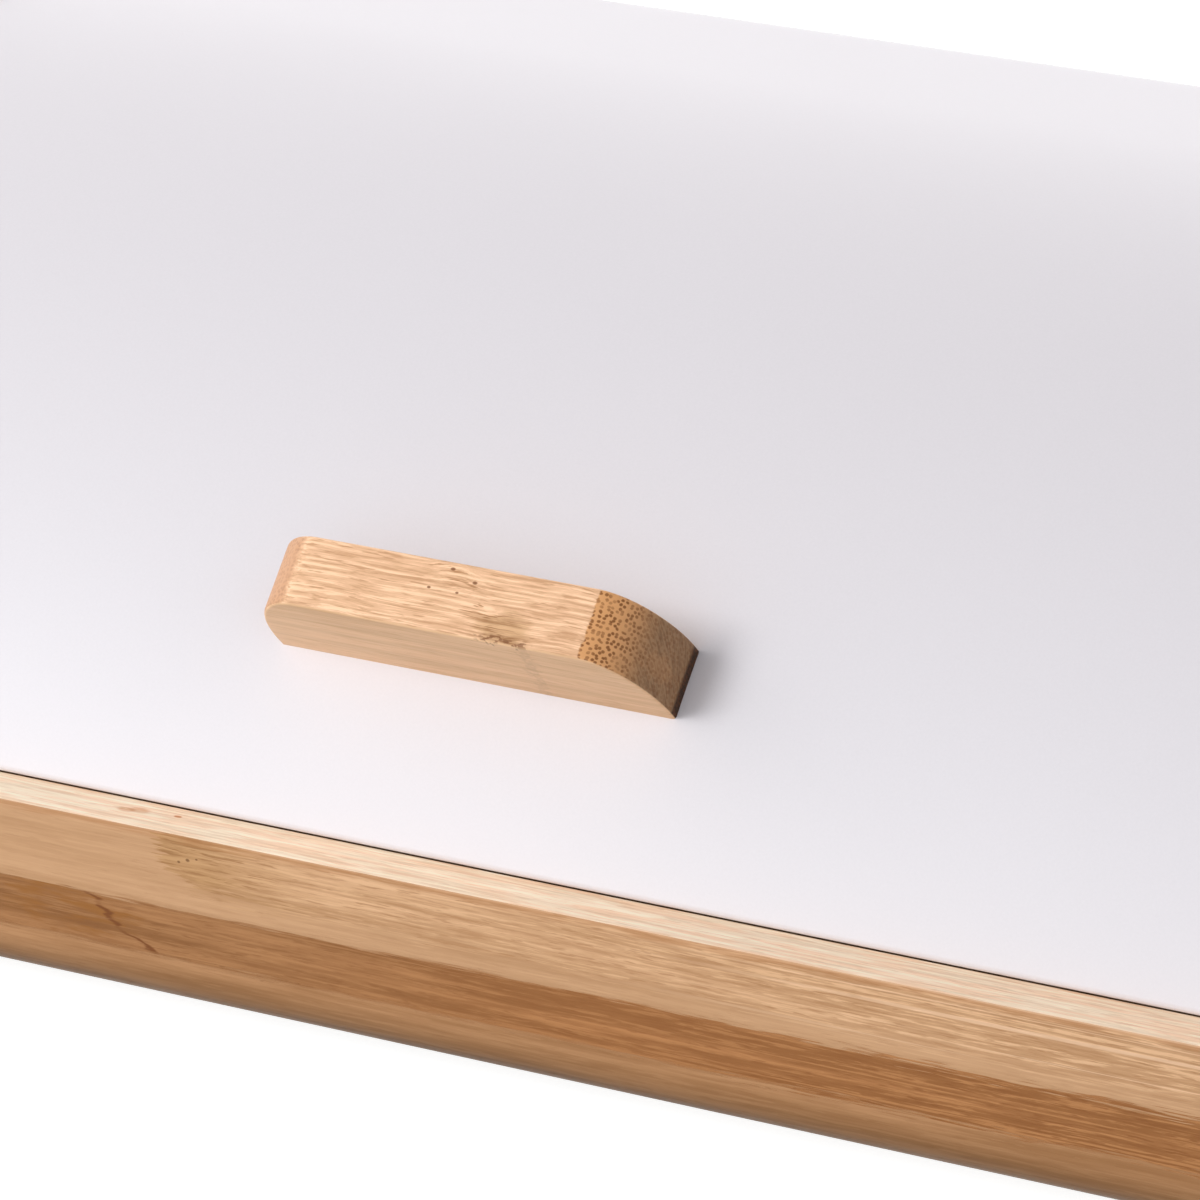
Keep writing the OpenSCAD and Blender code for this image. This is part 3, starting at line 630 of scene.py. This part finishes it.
def front_marks(net, wood, place, ragged, topside, middle):
    """Knot marks: specks on the upper strip and top edge, wisps and a crack on the middle strip."""
    tones, front = sizes().colours, sizes().front
    x, down, _ = net.split(place)
    for along, below, reach in FRONT_SPECKS:
        speck = patch(net, place, (along * MM, below * MM, FRONT_LOW.y),
                      (reach * 1.4 * MM, reach * MM, 30 * MM), 0.3)
        wood = net.blend(net.times(speck, 0.7), wood, tones.umber)
    for along, back, reach, strength in TOP_SPECKS:
        speck = patch(net, place, (along * MM, 0, back * MM),
                      (reach * 1.5 * MM, 20 * MM, reach * 0.8 * MM), 0.6)
        speck = net.times(net.times(speck, topside), strength, clamp=True)
        wood = net.blend(speck, wood, net.scaled(wood, SPECK_TINT))

    wisps = net.streaks(place, (65, 520, 520), 3)
    smear = patch(net, place, (front.lower_knot - 7 * MM, 22 * MM, FRONT_LOW.y),
                  (22 * MM, 7.5 * MM, 40 * MM), 0.9)
    smear = net.times(net.times(smear, net.step(wisps, 0.4, 0.6)), middle)
    wood = net.blend(net.times(smear, 0.9), wood, tones.rust)

    # The crack slants down to the right, flatter at its upper and lower ends
    top = front.first_strip
    slant = net.times_plus(down, 0.82, front.lower_knot - 0.82 * top)
    hook = net.step(down, top, top + 3 * MM, -5 * MM, 0)
    tail = net.step(down, top + 8 * MM, top + 11 * MM, 0, 5 * MM)
    slant = net.plus(slant, net.plus(hook, tail))
    crack = net.minus(x, net.times_plus(ragged, 12 * MM, slant))
    crack = net.step(net.absolute(crack), 0.2 * MM, 1.7 * MM, 0.95, 0)
    crack = net.times(net.times(crack, middle), net.step(wisps, 0.4, 0.52, 0.3, 1))
    return net.blend(crack, wood, tones.russet)


@once
def handle_material():
    """The handle: wavy fibres on the faces, a knot, and end grain on the curved ends."""
    material, net, shader = new_material("handle_bamboo_bar")
    tones, handle = sizes().colours, sizes().handle
    place = object_place(net)
    along, across, _ = net.split(place)
    facing = surface_facing(net)

    # The outer face has strong fibres, the two side faces are smoother and duller
    side = net.step(net.absolute(facing["Y"]), 0.5, 0.8)
    # The knot crosses the outer face at a slant, with short dark dashes
    slant = net.minus(along, net.times_plus(across, -1.15, 7.5 * MM))
    knot = net.step(net.absolute(slant), 2 * MM, 6.5 * MM, 1, 0)
    blotch = patch(
        net, place, (16.5 * MM, -5.5 * MM, handle.height), (9 * MM, 6 * MM, 24 * MM), 0.9)
    finish = covered(
        net,
        dict(Tone=tones.handle, Lines=0.85, Dashes=0.6, Mottle=0.3, Wave=1.8 * MM),
        (knot, dict(Dashes=0.95, Wave=4 * MM)),
        (net.times(blotch, 0.7), dict(Tone=tones.olive, Dashes=0.9)),
        (side, dict(Tone=tones.handle_side, Lines=0.12, Dashes=0.2, Mottle=0.45, Wave=0.4 * MM)),
    )
    fibres = net.group(bamboo_group(), Place=place, **finish)
    wood = handle_marks(net, fibres["Colour"], place, side)
    end, grain = handle_end_grain(net, place, facing, side)
    dress(net, shader, net.blend(end, wood, grain),
          net.step(fibres["Height"], 0.3, 0.7, 0.52, 0.42), fibres["Height"],
          relief=0.05 * MM, shine=0.2)
    return material


def handle_marks(net, wood, place, side):
    """Specks and a dark ridge on the handle's outer face, and a faint line across its sides."""
    tones, handle = sizes().colours, sizes().handle
    along, _, out = net.split(place)
    for right, up, reach in HANDLE_SPECKS:
        speck = patch(net, place, (right * MM, up * MM, handle.height),
                      (reach * 1.6 * MM, reach * MM, 8 * MM), 0.5)
        wood = net.blend(net.times(speck, 0.85), wood, tones.russet)
    serrated = net.streaks(place, (650, 1500, 500))
    ridge = patch(net, place, (17 * MM, -7.7 * MM, handle.height), (9 * MM, 1.6 * MM, 4 * MM), 0.7)
    ridge = net.times(ridge, net.step(serrated, 0.5, 0.6))
    wood = net.blend(net.times(ridge, 0.75), wood, tones.russet)
    trail = net.minus(along, net.times_plus(out, 0.15, 18 * MM))
    trail = net.times_plus(net.minus(serrated, 0.5), 9 * MM, trail)
    trail = net.step(net.absolute(trail), 0.2 * MM, 1.8 * MM, 0.12, 0)
    return net.blend(net.times(trail, side), wood, tones.umber)


def handle_end_grain(net, place, facing, side):
    """Where the surface turns towards the fibres' ends, and the colour that it has there."""
    tones, handle = sizes().colours, sizes().handle
    along, across, out = net.split(place)
    teeth = net.streaks(place, (0, 900, 900), 1)
    turned = net.absolute(facing["X"])
    turned = net.times_plus(net.minus(teeth, 0.5), 0.16, turned)
    right_end = net.step(facing["X"], -0.05, 0.05)
    begins = net.mix(right_end, 0.24, 0.1)
    ends = net.mix(right_end, 0.45, 0.15)
    end = net.times(net.step(turned, begins, ends), net.minus(1, side))

    # Downwards the ground gets darker and shows sawn lines, with one lighter place
    low = net.step(out, 15 * MM, 26 * MM, 1, 0)
    sawn = net.join(along, net.plus(across, out), net.minus(out, across))
    sawn = net.streaks(sawn, (120, 160, 1300))
    sawn = net.times(net.step(sawn, 0.42, 0.62), low)
    ground = net.blend(low, tones.grain_end, tones.grain_low)
    ground = net.blend(net.times(sawn, 0.38), ground, tones.umber)
    light = patch(net, place, (handle_length() / 2 - 4 * MM, -2 * MM, 13 * MM),
                  (20 * MM, 4 * MM, 7 * MM), 1.0)
    ground = net.blend(net.times(light, 0.2), ground, tones.grain_end)
    # Painted shade: a nearly black band along the toe's foot stands for the shadow where the end
    # curve meets the lid
    foot = net.step(out, handle.toe + 0.4 * MM, handle.toe + 2 * MM, 0.95, 0)
    ground = net.blend(foot, ground, darker(tones.umber, 0.3))
    ground = net.blend(right_end, tones.grain_left, ground)

    # The dots lie on the curved face, whose length is about 0.77 of its rise and run together
    rolled = net.times(net.minus(out, net.absolute(along)), 0.77)
    contrast = net.times(net.times_plus(low, -0.42, 0.85),
                        net.times_plus(right_end, 0.7, 0.3))
    grain = net.group(
        end_grain_group(), Place=net.join(along, across, rolled), Ground=ground,
        Fibre=tones.russet, Contrast=contrast)
    return end, grain["Colour"]


@once
def lid_material():
    material, net, shader = new_material("lid_satin_paint")
    coat = net.group(speckle_group(), Place=object_place(net), Colour=sizes().colours.lid)
    dress(net, shader, coat["Colour"], coat["Roughness"], coat["Height"], relief=0.012 * MM)
    return material


@once
def wood_material():
    """Plain straight-grained wood of dowels and runners."""
    material, net, shader = new_material("dowel_beech")
    tones = sizes().colours
    fleck = net.streaks(object_place(net), (260, 260, 1400))
    wood = net.blend(net.step(fleck, 0.45, 0.7), tones.dowel, tones.orange)
    wood = net.blend(0.65, wood, tones.dowel)
    dress(net, shader, wood, 0.55, fleck, relief=0.02 * MM)
    return material


@once
def metal_material(name, colour, rough):
    """Plated metal with fine turning marks and slight dullness in patches."""
    material, net, shader = new_material(name)
    place = object_place(net)
    cloud = net.noise(place, 260, 3)
    marks = net.streaks(place, (300, 300, 6000), 1)
    tone = net.blend(net.step(cloud, 0.3, 0.7, 0, 0.35), colour, darker(colour, 0.7))
    dress(net, shader, tone, net.step(cloud, 0.3, 0.7, rough, rough + 0.14), marks,
          relief=0.006 * MM, metallic=1.0)
    return material


@once
def moulded_material(name, colour, rough, grain):
    """Moulded rubber or nylon with a fine matt grain, given as its count per metre."""
    material, net, shader = new_material(name)
    place = object_place(net)
    cloud = net.noise(place, 180, 3)
    tone = net.blend(net.step(cloud, 0.3, 0.7), colour, darker(colour, 0.82))
    dress(net, shader, tone, net.step(cloud, 0.3, 0.7, rough - 0.06, rough),
          net.noise(place, grain, 2), relief=0.02 * MM)
    return material


# ---- Shapes ----


def handle_length():
    return HANDLE_HIGH.x - HANDLE_LOW.x


def arc(centre, radius, start, end, steps):
    """Points on a circle in Y and Z. Angles are in degrees, from the back upwards."""
    turns = [math.radians(start + (end - start) * i / steps) for i in range(steps + 1)]
    return [(centre[0] + radius * math.cos(t), centre[1] + radius * math.sin(t)) for t in turns]


def loft(rings):
    """Vertices and faces of a body through equal closed rings, with a face on each end."""
    count = len(rings[0])
    vertices = [point for ring in rings for point in ring]
    faces = [tuple(reversed(range(count))), tuple(range(len(vertices) - count, len(vertices)))]
    for i in range(len(rings) - 1):
        for j in range(count):
            k = (j + 1) % count
            faces.append((i * count + j, i * count + k, (i + 1) * count + k, (i + 1) * count + j))
    return vertices, faces


def new_object(name, data):
    item = bpy.data.objects.new(name, data)
    bpy.context.scene.collection.objects.link(item)
    return item


def new_piece(name, vertices, faces, material, body, slot, *replaced):
    """A mesh piece that rides on a body and stands for CAD nodes."""
    mesh = bpy.data.meshes.new(name)
    mesh.from_pydata(vertices, [], faces)
    mesh.materials.append(material)
    mesh.polygons.foreach_set("use_smooth", [True] * len(mesh.polygons))
    mesh.validate()
    mesh.set_sharp_from_angle(angle=SHARP_ANGLE)
    piece = new_object(name, mesh)
    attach(piece, body)
    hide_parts(*replaced)
    return piece


def soften(piece, width, limit=40):
    """Rounds the piece's sharp edges without touching its own mesh."""
    bevel = piece.modifiers.new("Softened edges", "BEVEL")
    bevel.width = width
    bevel.segments = EDGE_SEGMENTS
    bevel.limit_method = "ANGLE"
    bevel.angle_limit = math.radians(limit)
    bevel.harden_normals = True


def join_corners(piece, reach):
    """Joins corners that lie within reach of each other, with a modifier."""
    piece.modifiers.new("Joined corners", "WELD").merge_threshold = reach


def lid_curve():
    """Centre of the lid's arc in Y and Z, from the lid's top and its lower edge's setback."""
    lid = sizes().lid
    start_y = FRONT_LOW.y + lid.setback
    return (start_y + lid.arc_radius * math.cos(lid.start), SKIN_HIGH.z - lid.arc_radius)


def lid_section():
    """Closed outline of the sheet in Y and Z: outer face, rear roll, inner face and bead."""
    lid = sizes().lid
    centre, hinge = lid_curve(), (HINGE.y, HINGE.z)
    inner_radius, inner_roll = lid.arc_radius - lid.sheet, lid.roll_radius - lid.sheet
    wrap = -math.degrees(lid.roll_wrap)

    # The bead touches the arc from inside, and ends where it meets the sheet's inner face
    reach = lid.arc_radius - lid.bead_radius
    bead_level = SKIN_LOW.z + lid.bead_radius - centre[1]
    bead_turn = 180 - math.degrees(math.asin(bead_level / reach))
    bead = arc(centre, reach, bead_turn, bead_turn, 1)[0]
    meet = math.degrees(math.acos(
        (inner_radius**2 - reach**2 - lid.bead_radius**2) / (2 * reach * lid.bead_radius)))
    beads = arc(bead, lid.bead_radius, bead_turn + 360 - meet, bead_turn, BEAD_STEPS)
    inner_turn = math.degrees(math.atan2(beads[0][1] - centre[1], beads[0][0] - centre[0]))
    return (
        arc(centre, lid.arc_radius, bead_turn, 90, ARC_STEPS)
        + arc(hinge, lid.roll_radius, 90, wrap, ROLL_STEPS)
        + arc(hinge, inner_roll, wrap, 90, ROLL_STEPS)
        + arc(centre, inner_radius, 90, inner_turn, ARC_STEPS)
        + beads[1:-1]
    )


def handle_ring(v, inset):
    """The handle's outline at one place across it, drawn in by inset, in the handle's own space."""
    handle, lid = sizes().handle, sizes().lid
    flat = handle_length() / 2 - handle.end_run
    base = math.sqrt(lid.arc_radius**2 - v**2) - lid.arc_radius
    rise = handle.height - handle.toe
    end = []
    for i in range(END_STEPS + 1):
        turn = math.pi / 2 * i / END_STEPS
        point = Vector((flat + handle.end_run * math.sin(turn), handle.toe + rise * math.cos(turn)))
        normal = Vector((math.sin(turn) / handle.end_run, math.cos(turn) / rise)).normalized()
        end.append(point - normal * inset)
    end.append(Vector((end[-1].x, base)))
    ring = [(p.x, v, p.y) for p in end]
    return ring + [(-x, v, z) for x, v, z in reversed(ring)]


def seat_matrix():
    """The handle's own space: X along it, Y up the slope, Z out of the lid."""
    lid, handle = sizes().lid, sizes().handle
    centre = lid_curve()
    out = Vector((0, -math.cos(handle.seat), math.sin(handle.seat)))
    up = Vector((0, math.sin(handle.seat), math.cos(handle.seat)))
    seat = Vector((0, centre[0], centre[1])) + out * lid.arc_radius
    matrix = Matrix((Vector((1, 0, 0)), up, out)).transposed().to_4x4()
    matrix.translation = seat
    return matrix


def front_ring(x, pulled):
    """The drawer front's section, with its corner taken out where the finger pull is."""
    front = sizes().front
    low_y, low_z = FRONT_LOW.y, FRONT_LOW.z
    high_y, high_z = FRONT_HIGH.y, FRONT_HIGH.z + front.top_up
    pull_y, pull_z = high_y - front.pull_deep, low_z + front.pull_height
    corner = (pull_y, pull_z) if pulled else (high_y, low_z)
    centre = (low_y + front.lower_round, low_z + front.lower_round)
    section = [(high_y, high_z), (low_y, high_z)]
    section += arc(centre, front.lower_round, 180, 270, ROUND_STEPS)
    section += [(pull_y, low_z), corner, (high_y, pull_z)]
    return [(x, y, z) for y, z in section]


# ---- Operators ----


class BREADBOX_OT_camera(Operator):
    """Looks at the box from the photograph's angle"""

    bl_idname = "bread_box.camera"
    bl_label = "Camera"

    def execute(self, context):
        stage = sizes().stage
        a, e = stage.azimuth, stage.elevation
        right = Vector((math.cos(a), math.sin(a), 0))
        back = Vector((math.sin(a) * math.cos(e), -math.cos(a) * math.cos(e), math.sin(e)))
        up = back.cross(right)
        aim = seat_matrix().translation + right * stage.aim_right + up * stage.aim_up
        camera = new_object("camera", bpy.data.cameras.new("camera"))
        camera.data.lens = stage.lens
        camera.matrix_world = Matrix((right, up, back)).transposed().to_4x4()
        camera.location = aim + back * stage.distance
        context.scene.camera = camera
        return {"FINISHED"}


class BREADBOX_OT_lid(Operator):
    """Makes the curved lid: one sheet with a bead in front and a roll round the hinge line"""

    bl_idname = "bread_box.lid"
    bl_label = "Lid"

    def execute(self, context):
        section = lid_section()
        rings = [[(x, y, z) for y, z in section] for x in (SKIN_LOW.x, SKIN_HIGH.x)]
        piece = new_piece(
            "curved_lid_sheet", *loft(rings), lid_material(), "lid", "lid_paint", "lid_skin")
        soften(piece, sizes().lid.edge_soft, 60)
        return {"FINISHED"}


class BREADBOX_OT_handle(Operator):
    """Makes the bamboo handle with its sanded edges and curved ends"""

    bl_idname = "bread_box.handle"
    bl_label = "Handle"

    def execute(self, context):
        handle = sizes().handle
        half, soft = handle.width / 2, handle.edge_soft
        corner = [math.pi / 2 * i / SANDED_STEPS for i in range(SANDED_STEPS + 1)]
        sanded = [
            (-half + soft * (1 - math.sin(t)), soft * (1 - math.cos(t))) for t in reversed(corner)]
        flat = [(half * i / FACE_STEPS, 0) for i in range(1 - FACE_STEPS, FACE_STEPS)]
        stations = sanded + flat + [(-v, inset) for v, inset in reversed(sanded)]
        rings = [handle_ring(v, inset) for v, inset in stations]
        piece = new_piece(
            "handle_bar", *loft(rings), handle_material(), "lid", "handle_bamboo", "lid_handle")
        piece.matrix_world = seat_matrix()
        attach(piece, "lid")
        return {"FINISHED"}


class BREADBOX_OT_drawer_front(Operator):
    """Makes the drawer's front board with its rounded lower edge and finger pull"""

    bl_idname = "bread_box.drawer_front"
    bl_label = "Drawer front"

    def execute(self, context):
        front = sizes().front
        half = front.pull_width / 2
        stations = [(FRONT_LOW.x, False), (-half, False), (-half, True),
                    (half, True), (half, False), (FRONT_HIGH.x, False)]
        rings = [front_ring(x, pulled) for x, pulled in stations]
        piece = new_piece(
            "drawer_front_board", *loft(rings), front_material(), "drawer", "front_bamboo",
            "drawer_front")
        join_corners(piece, 0.01 * MM)
        soften(piece, front.edge_soft)
        return {"FINISHED"}


# Boards: the axes along their fibres and across their strips, strip width in metres, seed
BOARDS = {
    "side_panel_left": ("YZ", 0.021, 3.37),
    "side_panel_right": ("YZ", 0.021, 8.61),
    "back_panel": ("XZ", 0.021, 1.83),
    "shelf_panel": ("XY", 0.021, 5.29),
    "bottom_panel": ("XY", 0.018, 6.43),
    "drawer_inner_front": ("XZ", 0.03, 2.57),
    "drawer_back": ("XZ", 0.03, 4.19),
    "drawer_side_left": ("YZ", 0.03, 7.71),
    "drawer_side_right": ("YZ", 0.03, 9.13),
    "drawer_bottom": ("XY", 0.018, 0.57),
}


class BREADBOX_OT_boards(Operator):
    """Finishes the boards of the box and of the drawer in glued bamboo strips with soft edges"""

    bl_idname = "bread_box.boards"
    bl_label = "Boards"

    edge_soft: length("Edge softness", "Radius of the boards' sanded edges", 0.8)

    def execute(self, context):
        for node, grain in BOARDS.items():
            board = frame["nodes"][node]
            refinish(board, board_material(node + "_bamboo", *grain))
            clean_edges(board)
            soften(board, self.edge_soft)
        return {"FINISHED"}


def refinish(piece, material):
    """Gives a CAD piece its finish in place of the plain one."""
    piece.data.materials.clear()
    piece.data.materials.append(material)


def clean_edges(piece):
    """Joins a CAD mesh's split corners and flat triangles, with modifiers only."""
    join_corners(piece, 0.005 * MM)
    flat = piece.modifiers.new("Flat faces", "DECIMATE")
    flat.decimate_type = "DISSOLVE"
    flat.angle_limit = math.radians(0.5)


class BREADBOX_OT_fittings(Operator):
    """Finishes screws, hinge parts, pins, dowels, runners, bumpers and feet"""

    bl_idname = "bread_box.fittings"
    bl_label = "Fittings"

    def execute(self, context):
        tones = sizes().colours
        finishes = {
            "lid_paint": lid_material(),
            "dowel_wood": wood_material(),
            "zinc_steel": metal_material("zinc_plated_steel", tuple(tones.zinc), 0.28),
            "brass": metal_material("turned_brass", tuple(tones.brass), 0.25),
            "rubber": moulded_material("matt_rubber", tuple(tones.rubber), 0.75, 2600),
            "nylon": moulded_material("moulded_nylon", tuple(tones.nylon), 0.5, 1800),
        }
        for piece in frame["nodes"].values():
            slot = piece.data.materials[0].name
            if slot in finishes:
                refinish(piece, finishes[slot])
        return {"FINISHED"}


class BREADBOX_OT_stage(Operator):
    """Sets a pale floor, a white room and a soft lamp round the box"""

    bl_idname = "bread_box.stage"
    bl_label = "Stage"

    def execute(self, context):
        stage = sizes().stage
        self.floor()
        self.room(stage)
        self.lamp(stage)
        context.scene.view_settings.view_transform = "Standard"
        return {"FINISHED"}

    def floor(self):
        """A pale floor that the camera sees as white, with the box's shadow on it."""
        half = FLOOR_HALF
        mesh = bpy.data.meshes.new("floor")
        corners = [(-half, -half, 0), (half, -half, 0), (half, half, 0), (-half, half, 0)]
        mesh.from_pydata(corners, [], [(0, 1, 2, 3)])
        floor = new_object("floor", mesh)
        material = bpy.data.materials.new("pale_floor")
        net = empty_net(material)
        matt = net.add("ShaderNodeBsdfDiffuse", {"Color": FLOOR_TONE}).outputs[0]
        glow = net.add(
            "ShaderNodeEmission", {"Color": (1, 1, 1), "Strength": FLOOR_GLOW}).outputs[0]
        seen = net.add("ShaderNodeAddShader", {0: matt, 1: glow}).outputs[0]
        paths = net.add("ShaderNodeLightPath").outputs
        looks = net.larger(paths["Is Camera Ray"], paths["Is Glossy Ray"])
        looks = net.larger(looks, paths["Is Transmission Ray"])
        both = net.add("ShaderNodeMixShader", {0: looks, 1: matt, 2: seen}).outputs[0]
        net.add("ShaderNodeOutputMaterial", {"Surface": both})
        mesh.materials.append(material)

    def room(self, stage):
        """Walls that fade into a dim ceiling, brightest at the back and then on the left."""
        world = bpy.data.worlds.new("white_room")
        bpy.context.scene.world = world
        net = empty_net(world)
        direction = net.vector("NORMALIZE", net.add("ShaderNodeTexCoord").outputs["Generated"])
        level = stage.wall
        for towards, gain in ((LEFT_WALL, stage.left_wall), (BACK_WALL, stage.back_wall)):
            along = net.add(
                "ShaderNodeVectorMath", {0: direction, 1: towards}, operation="DOT_PRODUCT")
            facing = net.step(along.outputs["Value"], 0.1, 0.75)
            level = net.times_plus(facing, gain, level)
        wall = net.step(net.split(direction)["Z"], 0.42, 0.85, 1, 0)
        level = net.mix(wall, stage.ceiling, level)
        light = net.add(
            "ShaderNodeBackground", {"Color": net.join(level, level, level), "Strength": 1.0})
        net.add("ShaderNodeOutputWorld", {"Surface": light.outputs[0]})

    def lamp(self, stage):
        """A soft rectangular lamp in front, turned to the box. A brightness of 1 is white."""
        light = bpy.data.lights.new("key_lamp", "AREA")
        light.shape = "RECTANGLE"
        light.size, light.size_y = KEY_SIZE
        light.energy = stage.key * math.pi * KEY_SIZE[0] * KEY_SIZE[1]
        light.color = KEY_TINT
        lamp = new_object("key_lamp", light)
        lamp.location = KEY_PLACE
        aim = (BOX_LOW + BOX_HIGH) / 2
        lamp.rotation_euler = (aim - Vector(KEY_PLACE)).to_track_quat("-Z", "Y").to_euler()
        lamp.visible_camera = False


class BREADBOX_PT_panel(Panel):
    bl_label = "Bread box"
    bl_space_type = "VIEW_3D"
    bl_region_type = "UI"
    bl_category = "Bread box"

    def draw(self, context):
        settings = context.scene.bread_box
        for name in ("lid", "handle", "front", "colours", "stage"):
            group = getattr(settings, name)
            box = self.layout.box()
            box.label(text=name.capitalize())
            for prop in group.bl_rna.properties:
                if prop.identifier not in ("rna_type", "name"):
                    box.prop(group, prop.identifier)
        for step in STEPS:
            self.layout.operator("bread_box." + step)


CLASSES = (
    LidSizes, HandleSizes, FrontSizes, Colours, StageSettings, BreadBoxSettings,
    BREADBOX_OT_camera, BREADBOX_OT_lid, BREADBOX_OT_handle, BREADBOX_OT_drawer_front,
    BREADBOX_OT_boards, BREADBOX_OT_fittings, BREADBOX_OT_stage, BREADBOX_PT_panel,
)
STEPS = ("camera", "lid", "handle", "drawer_front", "boards", "fittings", "stage")


def register():
    for item in CLASSES:
        bpy.utils.register_class(item)
    bpy.types.Scene.bread_box = PointerProperty(type=BreadBoxSettings)


def unregister():
    del bpy.types.Scene.bread_box
    for item in reversed(CLASSES):
        bpy.utils.unregister_class(item)


def main():
    register()
    for step in STEPS:
        getattr(bpy.ops.bread_box, step)()


if __name__ == "__main__":
    main()
